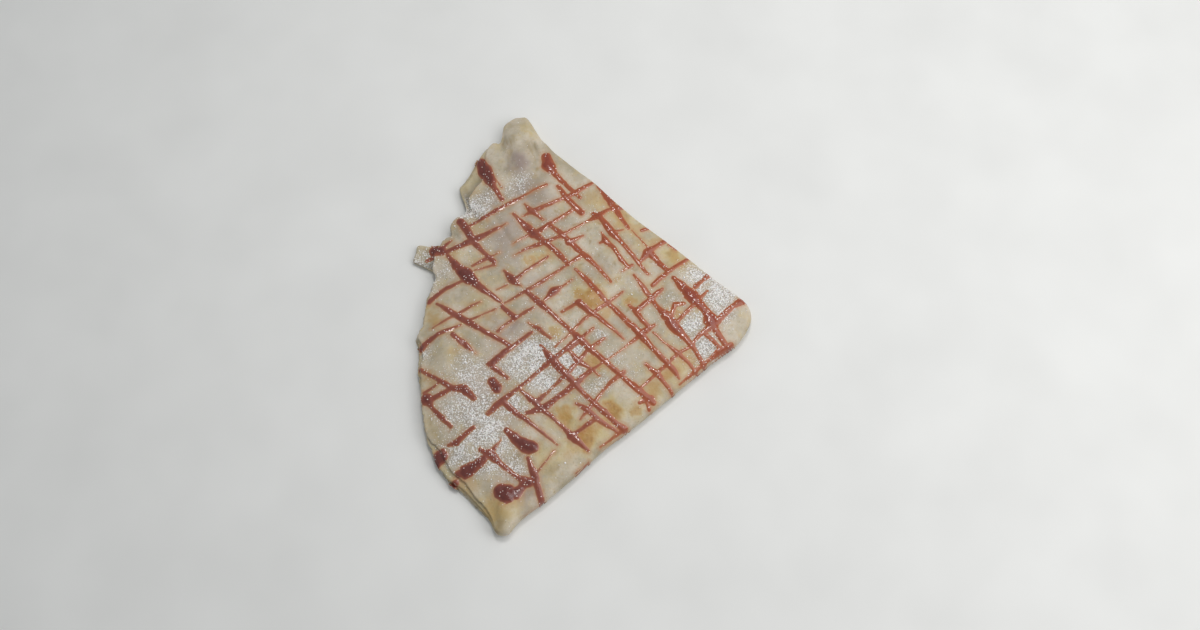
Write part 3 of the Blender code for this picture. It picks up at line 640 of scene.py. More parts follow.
def side_height(angle, leaf, share):
    """The height of one level of the side. Each lip waves a little up and down."""
    reach = np.radians(angle) * outline_radius(angle)
    row = 30.0 * leaf
    wave = LIP_WAVE * (soft_noise(reach, row, 7.0, 11) + 0.5 * soft_noise(reach, row, 2.6, 12))
    is_lip = math.sin(math.pi * share) if leaf else share * (1 - share)
    return edge_height(angle) * (leaf + share) / LEAVES + wave * is_lip * within(angle, FREE_EDGE)


def distance_to_stroke(x, y, start, end):
    """How far a place is from a straight stretch, and how far along it, from 0 to 1."""
    along = (end[0] - start[0], end[1] - start[1])
    share = ((x - start[0]) * along[0] + (y - start[1]) * along[1]) / (along[0] ** 2 + along[1] ** 2)
    share = np.clip(share, 0, 1)
    return np.hypot(x - start[0] - along[0] * share, y - start[1] - along[1] * share), share


def pits(x, y):
    """The shallow pits that burst bubbles left in the leaf."""
    draw = np.random.default_rng(7)
    depth = np.zeros_like(x)
    for _ in range(PIT_COUNT):
        pit_x, pit_y = draw.uniform(*PIT_AREA[0]), draw.uniform(*PIT_AREA[1])
        radius, rise = draw.uniform(*PIT_RADII), draw.uniform(*PIT_DEPTHS)
        near = np.flatnonzero((np.abs(x - pit_x) < 3 * radius) & (np.abs(y - pit_y) < 3 * radius))
        away = np.hypot(x[near] - pit_x, y[near] - pit_y) / radius
        depth[near] += rise * (np.exp(-(away**2)) - 0.35 * np.exp(-((away - 1.5) ** 2) / 0.2))
    return depth


def broad_height(x, y):
    """The broad form of the top leaf, without the fall towards its edge."""
    height = np.full_like(x, TOP_HEIGHT)
    for lump_x, lump_y, radius, rise in LUMPS:
        height = height + rise * bump(np.hypot(x - lump_x, y - lump_y), radius)
    first, second = RIPPLE_LENGTHS
    height = height + RIPPLE * np.sin(2 * np.pi * (x + 0.4 * y) / first)
    return height + RIPPLE * np.sin(2 * np.pi * (y - 0.3 * x) / second)


def top_height(x, y):
    """The top leaf's height with its unevenness, creases and pits."""
    height = broad_height(x, y)
    for number, (size, rise) in enumerate(UNEVENNESS):
        height = height + rise * soft_noise(x, y, size, 20 + number)
    for x0, y0, x1, y1, half_width, depth in CREASES:
        away, _ = distance_to_stroke(x, y, (x0, y0), (x1, y1))
        height = height - depth * bump(away, half_width)
    return height - pits(x, y)


def surface_height(x, y, height_at=top_height):
    """The height of the top at a place, with the fall towards the top leaf's edge."""
    angle = direction_of(x, y)
    inside = leaf_radius(angle, LEAVES - 1) - np.hypot(x - CENTRE[0], y - CENTRE[1])
    shoulder = edge_height(angle) * (LEAVES - 1 + TOP_LIP[-1][0]) / LEAVES
    return shoulder + (height_at(x, y) - shoulder) * smooth_step(inside / EDGE_ROLL)


def rim_radius(angle, share):
    """A ring over the rim: from the top leaf's lip at share 0 to the grid's edge at 1."""
    lip_share, lip_inset = TOP_LIP[-1]
    outer = side_radius(angle, LEAVES - 1, lip_share, lip_inset, False)
    direction, half_width, further = NOTCH_INSET
    inset = GRID_INSET + further * bump(turn_between(angle, direction), half_width)
    return outer + (plain_outline(angle) - inset - outer) * share


def only_select(*objects):
    """Selects these objects and nothing else, and makes the first one active."""
    for other in bpy.context.scene.objects:
        other.select_set(other in objects)
    bpy.context.view_layer.objects.active = objects[0] if objects else None


def place_ring(mesh, radius_at, height_at):
    """Moves the selected ring to its radius and height. Each point keeps its direction."""
    shell = bmesh.from_edit_mesh(mesh)
    ring = [vertex for vertex in shell.verts if vertex.select]
    angle = direction_of(*(np.array([vertex.co[:2] for vertex in ring]).T / MM))
    radius = radius_at(angle)
    x = CENTRE[0] + radius * np.cos(np.radians(angle))
    y = CENTRE[1] + radius * np.sin(np.radians(angle))
    height = np.broadcast_to(height_at(angle, x, y), x.shape)
    for vertex, *place in zip(ring, x, y, height):
        vertex.co = Vector(place) * MM
    bmesh.update_edit_mesh(mesh)


def spread_directions(mesh):
    """Turns an even ring's points to their directions: the same count in each grid quarter."""
    shell = bmesh.from_edit_mesh(mesh)
    corners = [*GRID_CORNERS, GRID_CORNERS[0] + 360]
    for vertex in shell.verts:
        turned = math.degrees(math.atan2(vertex.co.y, vertex.co.x)) % 360
        place = round(turned / 360 * 4 * SIDE_STEPS)
        quarter, step = divmod(place % (4 * SIDE_STEPS), SIDE_STEPS)
        angle = corners[quarter] + (corners[quarter + 1] - corners[quarter]) * step / SIDE_STEPS
        if vertex.co.length > 0:
            along = Vector((math.cos(math.radians(angle)), math.sin(math.radians(angle)), 0))
            vertex.co = (Vector((*CENTRE, 0)) + along) * MM
        else:
            vertex.co = Vector((*CENTRE, 0)) * MM
    bmesh.update_edit_mesh(mesh)


def extrude_to(mesh, radius_at, height_at):
    """Extrudes the selected ring of edges and places the new ring."""
    bpy.ops.mesh.extrude_edges_move()
    place_ring(mesh, radius_at, height_at)


def underside_height(angle, x, y):
    """The underside lies flat, with the shallow hollows that the lowest leaf has."""
    inside = smooth_step((outline_radius(angle) - np.hypot(x - CENTRE[0], y - CENTRE[1])) / HOLLOW_INSET)
    return HOLLOW_DEPTH * (1 + soft_noise(x, y, 9.0, 31)) * inside


def fill_top(mesh):
    """Fills the ring round the top with a grid whose first corner is at the nose."""
    shell = bmesh.from_edit_mesh(mesh)
    ring = [vertex for vertex in shell.verts if vertex.select]
    places = np.array([vertex.co[:2] for vertex in ring]).T / MM
    turns = np.abs(turn_between(direction_of(*places), GRID_CORNERS[0]))
    corner = ring[int(np.argmin(turns))]
    shell.select_history.clear()
    shell.select_history.add(corner)
    bmesh.update_edit_mesh(mesh)
    bpy.ops.mesh.fill_grid(span=SIDE_STEPS, use_interp_simple=True)


def make_folded_crepe():
    """The folded crepe: rings out under it, up its side and in over its rim, then a grid."""
    only_select()
    bpy.ops.mesh.primitive_circle_add(vertices=4 * SIDE_STEPS, radius=MM, fill_type="TRIFAN")
    crepe = bpy.context.active_object
    crepe.name = crepe.data.name = "folded_crepe"
    mesh = crepe.data
    bpy.ops.object.mode_set(mode="EDIT")
    spread_directions(mesh)
    bpy.ops.mesh.select_all(action="SELECT")
    bpy.ops.mesh.region_to_loop()
    place_ring(mesh, lambda angle: plain_outline(angle) * UNDERSIDE_SHARES[0], underside_height)
    for share in UNDERSIDE_SHARES[1:]:
        extrude_to(mesh, lambda angle: plain_outline(angle) * share, underside_height)
    extrude_to(mesh, lambda angle: side_radius(angle, 0, 0.0, FOOT_INSET, False), lambda angle, x, y: 0.0)
    for leaf in range(LEAVES):
        lip = TOP_LIP if leaf == LEAVES - 1 else LIP
        for share, inset in lip:
            extrude_to(
                mesh,
                lambda angle: side_radius(angle, leaf, share, inset, False),
                lambda angle, x, y: side_height(angle, leaf, share),
            )
        if leaf < LEAVES - 1:
            extrude_to(
                mesh,
                lambda angle: side_radius(angle, leaf, 1.0, 0.0, True),
                lambda angle, x, y: side_height(angle, leaf, 1.0),
            )
    for share in RIM_SHARES:
        extrude_to(
            mesh,
            lambda angle: rim_radius(angle, share),
            lambda angle, x, y: surface_height(x, y),
        )
    rim_count = len(bmesh.from_edit_mesh(mesh).verts)
    fill_top(mesh)
    bpy.ops.mesh.select_all(action="SELECT")
    bpy.ops.mesh.normals_make_consistent(inside=False)
    bpy.ops.object.mode_set(mode="OBJECT")
    places = read_places(mesh)
    top = np.arange(len(places)) >= rim_count
    places[top, 2] = surface_height(places[top, 0], places[top, 1])
    write_places(mesh, places)
    only_select(crepe)
    bpy.ops.object.shade_smooth()
    return crepe


def read_places(mesh):
    """All vertices of a mesh, in mm."""
    places = np.empty(len(mesh.vertices) * 3, np.float32)
    mesh.vertices.foreach_get("co", places)
    return places.reshape(-1, 3).astype(float) / MM


def write_places(mesh, places):
    """Moves all vertices of a mesh to their places, in mm."""
    mesh.vertices.foreach_set("co", (places * MM).astype(np.float32).ravel())
    mesh.update()


def write_attribute(mesh, name, values):
    """Keeps one number for each vertex, for the materials to read."""
    attribute = mesh.attributes.new(name, "FLOAT", "POINT")
    attribute.data.foreach_set("value", np.clip(values, 0, 1).astype(np.float32))


class SauceMap:
    """How thick the sauce lies at each place of a fine grid over the fan."""

    def __init__(self):
        low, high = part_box("crepe")
        self.start = (low.x / MM - 1, low.y / MM - 1)
        span = (high.x / MM + 1 - self.start[0], high.y / MM + 1 - self.start[1])
        self.cells = [math.ceil(length / SAUCE_CELL) for length in span]
        self.span = [count * SAUCE_CELL for count in self.cells]
        shape = (self.cells[1] + 1, self.cells[0] + 1)
        self.x = self.start[0] + SAUCE_CELL * np.arange(shape[1])
        self.y = self.start[1] + SAUCE_CELL * np.arange(shape[0])
        self.weight = np.zeros(shape)
        self.gap = np.full(shape, FAR_FROM_SAUCE)
        for stroke in FALLING + RISING:
            self.pour(stroke)
        self.thickness = np.log(np.maximum(self.weight, 1e-9)) / SAUCE_JOIN

    def pour(self, stroke):
        """Adds one stroke. Its sides wobble, and it is thicker where it is wider."""
        places = np.array([place[:2] for place in stroke])
        reach = max(place[2] for place in stroke) + 5
        low, high = places.min(0) - reach, places.max(0) + reach
        columns = np.flatnonzero((self.x > low[0]) & (self.x < high[0]))
        rows = np.flatnonzero((self.y > low[1]) & (self.y < high[1]))
        x, y = np.meshgrid(self.x[columns], self.y[rows])
        x = x + SAUCE_WOBBLE * soft_noise(x, y, 3.4, 41)
        y = y + SAUCE_WOBBLE * soft_noise(x, y, 3.4, 42)
        nearest = np.full(x.shape, np.inf)
        half = np.ones(x.shape)
        for start, end in zip(stroke, stroke[1:]):
            away, share = distance_to_stroke(x, y, start, end)
            here = (start[2] + (end[2] - start[2]) * smooth_step(share)) / 2 * SAUCE_SPREAD
            here = here * (1 + SAUCE_UNEVEN * soft_noise(x, y, 2.2, 43))
            closer = away / here < nearest
            nearest = np.where(closer, away / here, nearest)
            half = np.where(closer, here, half)
        rise = half * (SAUCE_RISES[0] + SAUCE_RISES[1] * half)
        rise = rise * (1 + SAUCE_UNEVEN * soft_noise(x, y, 4.5, 44))
        within_stroke = rise * (1 - np.minimum(nearest, 1) ** 2) ** SAUCE_FULLNESS
        thickness = np.where(nearest < 1, within_stroke, (1 - nearest) * half * SAUCE_SLOPE)
        window = np.ix_(rows, columns)
        self.weight[window] += np.exp(SAUCE_JOIN * np.maximum(thickness, NO_SAUCE))
        self.gap[window] = np.minimum(self.gap[window], (nearest - 1) * half)

    def read(self, values, x, y):
        """Reads one of the maps at any place, between its four nearest points."""
        column = np.clip((x - self.start[0]) / SAUCE_CELL, 0, self.cells[0] - 1e-6)
        row = np.clip((y - self.start[1]) / SAUCE_CELL, 0, self.cells[1] - 1e-6)
        i, j = column.astype(int), row.astype(int)
        across, up = column - i, row - j
        low = values[j, i] * (1 - across) + values[j, i + 1] * across
        high = values[j + 1, i] * (1 - across) + values[j + 1, i + 1] * across
        return low * (1 - up) + high * up


def tree_of(*pieces):
    """The pieces as one tree of faces, to find the height of what lies at a place."""
    points, faces = [], []
    for piece in pieces:
        first = len(points)
        points += [vertex.co for vertex in piece.data.vertices]
        faces += [[first + corner for corner in face.vertices] for face in piece.data.polygons]
    return BVHTree.FromPolygons(points, faces)


def drop_onto(tree, x, y):
    """Height and slope of what lies at each place, seen from above. NaN where nothing is."""
    heights = np.full(len(x), np.nan)
    normals = np.zeros((len(x), 3))
    down = Vector((0, 0, -1))
    for number, (place_x, place_y) in enumerate(zip(x * MM, y * MM)):
        place, normal, _, _ = tree.ray_cast(Vector((place_x, place_y, 0.1)), down)
        if place is not None:
            heights[number] = place.z / MM
            normals[number] = normal
    return heights, normals


def sugar_density(x, y):
    """How thickly icing sugar fell at a place, from 0 to 1."""
    drift = patches(x, y, SUGAR_DRIFTS)
    streaks = 0.8 + 0.45 * soft_noise(x, y, 5.0, 51) + 0.25 * soft_noise(x, y, 2.0, 52)
    clear_x, clear_y, radius = NO_SUGAR
    clear = 1 - bump(np.hypot(x - clear_x, y - clear_y), radius)
    return np.clip((SUGAR_BASE + drift * streaks) * clear, 0, 1)


MARKS = ("browned", "yellowed", "lower_leaf", "olive_spot_and_painted_shade", "filling_shade", "sauce_stain", "sugar_film")


def mark_crepe(crepe, sauce_map):
    """Writes where the crepe is browned, shaded by the filling, stained and sugared."""
    x, y, z = read_places(crepe.data).T
    on_top = smooth_step(z - MARKED_FROM)
    angle = direction_of(x, y)
    past_top_leaf = np.hypot(x - CENTRE[0], y - CENTRE[1]) - leaf_radius(angle, LEAVES - 1)
    lower_leaf = smooth_step(past_top_leaf / 1.2) * within(angle, FREE_EDGE)
    wavy_x = x + BROWNED_WAVE * soft_noise(x, y, 4.0, 63) + 0.5 * BROWNED_WAVE * soft_noise(x, y, 1.8, 64)
    wavy_y = y + BROWNED_WAVE * soft_noise(x, y, 4.0, 65) + 0.5 * BROWNED_WAVE * soft_noise(x, y, 1.8, 66)
    spots = tuple((*place, 1.2, 0.9) for place in SMALL_SPOTS)
    browned = patches(wavy_x, wavy_y, BROWNED, BROWNED_EDGE)
    write_attribute(crepe.data, "browned", browned * on_top)
    fringes = tuple(
        (*place, radius + FRINGE, FRINGE_STRENGTH * strength) for *place, radius, strength in BROWNED
    )
    write_attribute(crepe.data, "yellowed", patches(wavy_x, wavy_y, YELLOWED + fringes, 3) * on_top)
    write_attribute(crepe.data, "lower_leaf", lower_leaf * on_top)
    # Olive spots, partly painted shade in the top tip's crease and the bottom tip's curl.
    write_attribute(crepe.data, "olive_spot_and_painted_shade", patches(wavy_x, wavy_y, OLIVE_SPOTS_AND_PAINTED_SHADE + spots, 3) * on_top)
    write_attribute(crepe.data, "filling_shade", patches(wavy_x, wavy_y, FILLING_SHADES) * on_top)
    gap = np.maximum(sauce_map.read(sauce_map.gap, x, y), 0)
    write_attribute(crepe.data, "sauce_stain", np.exp(-((gap / STAIN_REACH) ** 2)) * on_top)
    write_attribute(crepe.data, "sugar_film", sugar_density(x, y) * on_top)


def sauce_cells(sauce_map):
    """The grid's cells that have sauce. Where two meet at a corner alone, one more joins them."""
    x, y = np.meshgrid(sauce_map.x, sauce_map.y)
    inside = outline_radius(direction_of(x, y)) - np.hypot(x - CENTRE[0], y - CENTRE[1])
    wet = (sauce_map.thickness > -SAUCE_DIP) & (inside > SAUCE_RIM)
    cells = wet[:-1, :-1] | wet[:-1, 1:] | wet[1:, :-1] | wet[1:, 1:]
    for _ in range(3):
        for one, other in ((cells[:, :-1], cells[:, 1:]), (cells[:, 1:], cells[:, :-1])):
            one[1:] |= one[:-1] & other[1:] & ~one[1:] & ~other[:-1]
    return cells


def make_berry_sauce(sauce_map, crepe_tree):
    """The drizzle: a fine grid over the fan, cut to the strokes and raised to their height."""
    only_select()
    middle = [(start + span / 2) * MM for start, span in zip(sauce_map.start, sauce_map.span)]
    bpy.ops.mesh.primitive_grid_add(
        x_subdivisions=sauce_map.cells[0], y_subdivisions=sauce_map.cells[1], size=1, location=(*middle, 0)
    )
    sauce = bpy.context.active_object
    sauce.name = sauce.data.name = "berry_sauce"
    sauce.scale = (sauce_map.span[0] * MM, sauce_map.span[1] * MM, 1)
    bpy.ops.object.transform_apply(location=True, rotation=True, scale=True)
    mesh = sauce.data
    cells = sauce_cells(sauce_map)
    bpy.ops.object.mode_set(mode="EDIT")
    bpy.ops.mesh.select_mode(type="FACE")
    bpy.ops.mesh.select_all(action="DESELECT")
    shell = bmesh.from_edit_mesh(mesh)
    for face in shell.faces:
        centre = face.calc_center_median() / MM
        column = int((centre.x - sauce_map.start[0]) / SAUCE_CELL)
        row = int((centre.y - sauce_map.start[1]) / SAUCE_CELL)
        face.select_set(not cells[row, column])
    bmesh.update_edit_mesh(mesh)
    bpy.ops.mesh.delete(type="FACE")
    bpy.ops.mesh.select_all(action="SELECT")
    bpy.ops.mesh.extrude_region_move()
    is_top = np.array([vertex.select for vertex in bmesh.from_edit_mesh(mesh).verts])
    bpy.ops.object.mode_set(mode="OBJECT")
    places = read_places(mesh)
    x, y = places[:, 0], places[:, 1]
    ground, _ = drop_onto(crepe_tree, x, y)
    ground = np.where(np.isnan(ground), EDGE_HEIGHT / 2, ground)
    thickness = sauce_map.read(sauce_map.thickness, x, y)
    back = np.minimum(ground, surface_height(x, y, broad_height)) - SAUCE_BACKING
    places[:, 2] = np.where(is_top, ground + np.maximum(thickness, -SAUCE_DIP), back)
    write_places(mesh, places)
    write_attribute(mesh, "thickness", thickness / SAUCE_DEEPEST)
    warmth = smooth_step((x + SAUCE_WARM_SLANT * y - SAUCE_WARM_FROM) / SAUCE_WARM_OVER)
    write_attribute(mesh, "warmth", warmth)
    bpy.ops.object.mode_set(mode="EDIT")
    bpy.ops.mesh.select_all(action="SELECT")
    bpy.ops.mesh.normals_make_consistent(inside=False)
    shell = bmesh.from_edit_mesh(mesh)
    for face in shell.faces:
        face.select_set(face.normal.z < -0.5)
    bmesh.update_edit_mesh(mesh)
    bpy.ops.mesh.dissolve_limited(angle_limit=math.radians(SAUCE_BACK_ANGLE))
    bpy.ops.object.mode_set(mode="OBJECT")
    only_select(sauce)
    bpy.ops.object.shade_smooth()
    return sauce


def grain_shapes():
    """Three small lumps of sugar, from a plain crystal to a dented clump, 1 mm across."""
    shapes = []
    draw = np.random.default_rng(91)
    for add, settings in (
        (bpy.ops.mesh.primitive_cube_add, {"size": 0.75}),
        (bpy.ops.mesh.primitive_ico_sphere_add, {"subdivisions": 1, "radius": 0.5}),
        (bpy.ops.mesh.primitive_ico_sphere_add, {"subdivisions": 2, "radius": 0.5}),
    ):
        only_select()
        add(**settings)
        lump = bpy.context.active_object
        bpy.ops.object.mode_set(mode="EDIT")
        bpy.ops.mesh.select_all(action="SELECT")
        bpy.ops.mesh.quads_convert_to_tris()
        bpy.ops.object.mode_set(mode="OBJECT")
        points = np.array([vertex.co[:] for vertex in lump.data.vertices])
        points *= 1 + draw.uniform(-0.3, 0.2, (len(points), 1))
        faces = np.array([face.vertices[:] for face in lump.data.polygons])
        shapes.append((points, faces))
        bpy.data.objects.remove(lump)
    return shapes


def scattered(name, shape, places, normals, sizes, draw):
    """One piece of many grains: each one turned, sized and half sunk in what it lies on."""
    points, faces = shape
    count = len(places)
    turn = draw.uniform(0, 2 * np.pi, count)
    tilt = draw.uniform(0, np.pi, count)
    zero, one = np.zeros(count), np.ones(count)
    about_z = np.array(
        [[np.cos(turn), -np.sin(turn), zero], [np.sin(turn), np.cos(turn), zero], [zero, zero, one]]
    )
    about_x = np.array(
        [[one, zero, zero], [zero, np.cos(tilt), -np.sin(tilt)], [zero, np.sin(tilt), np.cos(tilt)]]
    )
    turned = np.einsum("ijn,jkn,pk->npi", about_z, about_x, points)
    turned *= sizes[:, None, None]
    turned[:, :, 2] *= GRAIN_SQUASH
    all_points = (turned + (places + normals * sizes[:, None] * GRAIN_LIFT)[:, None, :]).reshape(-1, 3) * MM
    all_faces = (faces[None, :, :] + (np.arange(count) * len(points))[:, None, None]).reshape(-1, 3)
    mesh = bpy.data.meshes.new(name)
    mesh.from_pydata(all_points, [], all_faces.tolist())
    mesh.update()
    piece = bpy.data.objects.new(name, mesh)
    bpy.context.scene.collection.objects.link(piece)
    return piece


def make_icing_sugar(tree, sauce_map):
    """Grains and clumps of icing sugar, dense in the drifts and sparse elsewhere."""
    draw = np.random.default_rng(77)
    low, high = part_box("crepe")
    x = draw.uniform(low.x / MM, high.x / MM, SUGAR_TRIES)
    y = draw.uniform(low.y / MM, high.y / MM, SUGAR_TRIES)
    chance = sugar_density(x, y)
    wet = sauce_map.read(sauce_map.thickness, x, y) > 0
    chance = np.where(wet, chance * ON_SAUCE, chance)
    fell = draw.uniform(0, 1, SUGAR_TRIES) < chance
    x, y = x[fell], y[fell]
    heights, normals = drop_onto(tree, x, y)
    landed = ~np.isnan(heights) & (normals[:, 2] > 0.5)
    places = np.stack([x, y, heights], 1)[landed]
    normals = normals[landed]
    kind = draw.uniform(0, 1, len(places))
    shapes = grain_shapes()
    made = []
    for name, share, smallest, largest, shape in SUGAR_KINDS:
        mine = (kind >= 0) & (kind < share)
        kind = kind - share
        size = draw.uniform(smallest, largest, mine.sum())
        made.append(scattered(name, shapes[shape], places[mine], normals[mine], size, draw))
    return made


def linear(hex_colour):
    """An sRGB hex colour as linear red, green, blue and alpha."""
    values = [int(hex_colour[start:start + 2], 16) / 255 for start in (1, 3, 5)]
    return (*(v / 12.92 if v <= 0.04045 else ((v + 0.055) / 1.055) ** 2.4 for v in values), 1.0)


def per_mm(size):
    """The texture scale at which one lump of a pattern is this many mm."""
    return 1 / (size * MM)


def add_node(material, kind, settings=None, inputs=None):
    """Adds one node with its settings. An input is a value or another node's output."""
    node = material.node_tree.nodes.new(kind)
    for name, value in (settings or {}).items():
        setattr(node, name, value)
    for name, value in (inputs or {}).items():
        if isinstance(value, bpy.types.NodeSocket):
            material.node_tree.links.new(value, node.inputs[name])
        else:
            node.inputs[name].default_value = value
    return node


def new_material(name):
    """An empty material and its Principled BSDF."""
    material = bpy.data.materials.new(name)
    material.use_nodes = True
    return material, material.node_tree.nodes["Principled BSDF"]


# The numbered sockets of a colour Mix node.
MIX_SHARE, MIX_FIRST, MIX_SECOND, MIX_RESULT = 0, 6, 7, 2


def blend_colours(material, share, first, second):
    """The output that goes from the first colour to the second with the share."""
    inputs = {MIX_SHARE: share, MIX_FIRST: first, MIX_SECOND: second}
    return add_node(material, "ShaderNodeMix", {"data_type": "RGBA"}, inputs).outputs[MIX_RESULT]


def noise(material, place, size, detail=2.0, roughness=0.5):
    """The output of a noise pattern whose lumps are this many mm."""
    inputs = {"Vector": place, "Scale": per_mm(size), "Detail": detail, "Roughness": roughness}
    return add_node(material, "ShaderNodeTexNoise", {}, inputs).outputs["Fac"]


def ranged(material, value, low, high, to_low=0.0, to_high=1.0):
    """A value's range stretched or cut to another."""
    inputs = {"Value": value, "From Min": low, "From Max": high, "To Min": to_low, "To Max": to_high}
    return add_node(material, "ShaderNodeMapRange", {}, inputs).outputs["Result"]


def product(material, first, second):
    """Two values multiplied."""
    return add_node(material, "ShaderNodeMath", {"operation": "MULTIPLY"}, {0: first, 1: second}).outputs[0]


def fried_batter():
    """Fried wheat batter: poured thin and baked on an iron, pale and matt, cloudy with fine
    pores, golden where it touched the iron, and a little clear, so that the filling shows
    through as grey and lilac shades. Sauce soaks into it and sugar lies on it as a film."""
    material, shader = new_material("fried_wheat_batter")
    place = add_node(material, "ShaderNodeTexCoord").outputs["Object"]
    marks = {
        name: add_node(material, "ShaderNodeAttribute", {"attribute_name": name}).outputs["Fac"]
        for name in MARKS
    }
    cloud = ranged(material, noise(material, place, 15, 4, 0.6), 0.38, 0.64)
    colour = blend_colours(material, cloud, linear(BATTER_PALE), linear(BATTER_DEEP))
    yellow = ranged(material, noise(material, place, 8, 4, 0.62), 0.52, 0.66, 0.0, 0.55)
    colour = blend_colours(material, yellow, colour, linear(BATTER_YELLOW))
    lace = ranged(material, noise(material, place, 3.0, 5, 0.65), 0.53, 0.68, 0.0, 0.45)
    colour = blend_colours(material, lace, colour, linear(BATTER_LACE))
    shaded = product(material, marks["filling_shade"], 0.85)
    colour = blend_colours(material, shaded, colour, linear(FILLING_TINT))
    fried = ranged(material, noise(material, place, 2.4, 4, 0.65), 0.32, 0.66, 0.8, 1.1)
    lower = product(material, marks["lower_leaf"], 0.75)
    colour = blend_colours(material, lower, colour, linear(LOWER_LEAF_COLOUR))
    yellowed = product(material, marks["yellowed"], fried)
    colour = blend_colours(material, yellowed, colour, linear(YELLOWED_COLOUR))
    browned = product(material, marks["browned"], fried)
    colour = blend_colours(material, browned, colour, linear(BROWNED_COLOUR))
    darkest = product(material, browned, noise(material, place, 4.0, 3, 0.6))
    darkest = ranged(material, darkest, 0.46, 0.62, 0.0, 0.6)
    colour = blend_colours(material, darkest, colour, linear(BROWNED_DEEP))
    # Olive spots, partly painted shade in the top tip's crease and the bottom tip's curl.
    olive_and_shade = product(material, marks["olive_spot_and_painted_shade"], 0.7)
    colour = blend_colours(material, olive_and_shade, colour, linear(OLIVE_AND_SHADE_COLOUR))
    pores = ranged(material, noise(material, place, 1.2, 2, 0.5), 0.62, 0.74, 0.0, 0.5)
    colour = blend_colours(material, pores, colour, linear(PORE_COLOUR))
    soak = ranged(material, noise(material, place, 2.6, 3, 0.6), 0.3, 0.7, 0.2, 0.65)
    stained = product(material, marks["sauce_stain"], soak)
    colour = blend_colours(material, stained, colour, linear(STAIN_COLOUR))
    film = ranged(material, marks["sugar_film"], 0.05, 0.6, 0.0, 0.75)
    colour = blend_colours(material, film, colour, linear(SUGAR_FILM))
    fallen = product(material, marks["sugar_film"], 0.15)
    grainy = noise(material, place, 0.95, 3, 0.7)
    powder = add_node(material, "ShaderNodeMath", {"operation": "ADD"}, {0: grainy, 1: fallen}).outputs[0]
    powder = ranged(material, powder, 0.575, 0.645, 0.0, 0.85)
    covered = ranged(material, marks["sugar_film"], 0.06, 0.3)
    colour = blend_colours(material, product(material, covered, powder), colour, linear(SUGAR_COLOUR))
    material.node_tree.links.new(colour, shader.inputs["Base Color"])
    shine = ranged(material, marks["browned"], 0.0, 1.0, 0.58, 0.36)
    material.node_tree.links.new(shine, shader.inputs["Roughness"])
    shader.inputs["IOR"].default_value = 1.45
    shader.inputs["Subsurface Weight"].default_value = 0.12
    shader.inputs["Subsurface Radius"].default_value = (1.0, 0.6, 0.35)
    shader.inputs["Subsurface Scale"].default_value = 1.6 * MM
    fine = noise(material, place, 0.9, 3, 0.6)
    bump_fine = add_node(
        material, "ShaderNodeBump", {}, {"Height": fine, "Distance": 0.12 * MM, "Strength": 0.8}
    )
    broad = noise(material, place, 3.4, 3, 0.55)
    bump_both = add_node(
        material,
        "ShaderNodeBump",
        {},
        {"Height": broad, "Distance": 0.35 * MM, "Strength": 0.7, "Normal": bump_fine.outputs["Normal"]},
    )
    material.node_tree.links.new(bump_both.outputs["Normal"], shader.inputs["Normal"])
    return material


def cooked_sauce():
    """Cooked berry sauce: strained and boiled with sugar to a glossy syrup. It is clear, so
    it looks orange red where it runs thin and dark brick red where it lies thick. Its colour
    holds painted glints: white specks that stand in for highlights on its skin."""
    material, shader = new_material("cooked_berry_sauce")
    place = add_node(material, "ShaderNodeTexCoord").outputs["Object"]
    depth = add_node(material, "ShaderNodeAttribute", {"attribute_name": "thickness"}).outputs["Fac"]
    warmth = add_node(material, "ShaderNodeAttribute", {"attribute_name": "warmth"}).outputs["Fac"]
    uneven = ranged(material, noise(material, place, 5.0, 3, 0.5), 0.3, 0.7, 0.75, 1.2)
    depth = product(material, depth, uneven)
    colour = blend_colours(
        material, ranged(material, depth, 0.0, 0.14), linear(SAUCE_FILM), linear(SAUCE_THIN)
    )
    colour = blend_colours(material, ranged(material, depth, 0.08, 0.28), colour, linear(SAUCE_MID))
    warm = ranged(material, warmth, 0.0, 1.0, 0.0, 0.55)
    colour = blend_colours(material, warm, colour, linear(SAUCE_WARM))
    thickest = blend_colours(material, warm, linear(SAUCE_THICK), linear(SAUCE_WARM_THICK))
    colour = blend_colours(material, ranged(material, depth, 0.34, 0.8), colour, thickest)
    # Painted glints: white specks set in the sauce's colour in place of highlights.
    spacing = {"Vector": place, "Scale": per_mm(PAINTED_GLINT_SPACING)}
    glint_cells = add_node(material, "ShaderNodeTexVoronoi", {}, spacing)
    painted_glint = ranged(material, glint_cells.outputs["Distance"], 0.12, 0.19, 1.0, 0.0)
    colour = blend_colours(material, painted_glint, colour, linear(PAINTED_GLINT_COLOUR))
    material.node_tree.links.new(colour, shader.inputs["Base Color"])
    shader.inputs["Roughness"].default_value = 0.5
    shader.inputs["IOR"].default_value = 1.38
    shader.inputs["Specular IOR Level"].default_value = 0.3
    shader.inputs["Coat Weight"].default_value = 0.85
    shader.inputs["Coat IOR"].default_value = 1.48
    shader.inputs["Coat Roughness"].default_value = 0.1
    shader.inputs["Subsurface Weight"].default_value = 0.15
    shader.inputs["Subsurface Radius"].default_value = (1.0, 0.25, 0.15)
    shader.inputs["Subsurface Scale"].default_value = 0.9 * MM
    seeds = noise(material, place, 2.6, 1.5, 0.5)
    uneven_skin = add_node(
        material, "ShaderNodeBump", {}, {"Height": seeds, "Distance": 0.35 * MM, "Strength": 0.7}
    )
    material.node_tree.links.new(uneven_skin.outputs["Normal"], shader.inputs["Normal"])
    material.node_tree.links.new(uneven_skin.outputs["Normal"], shader.inputs["Coat Normal"])
    return material


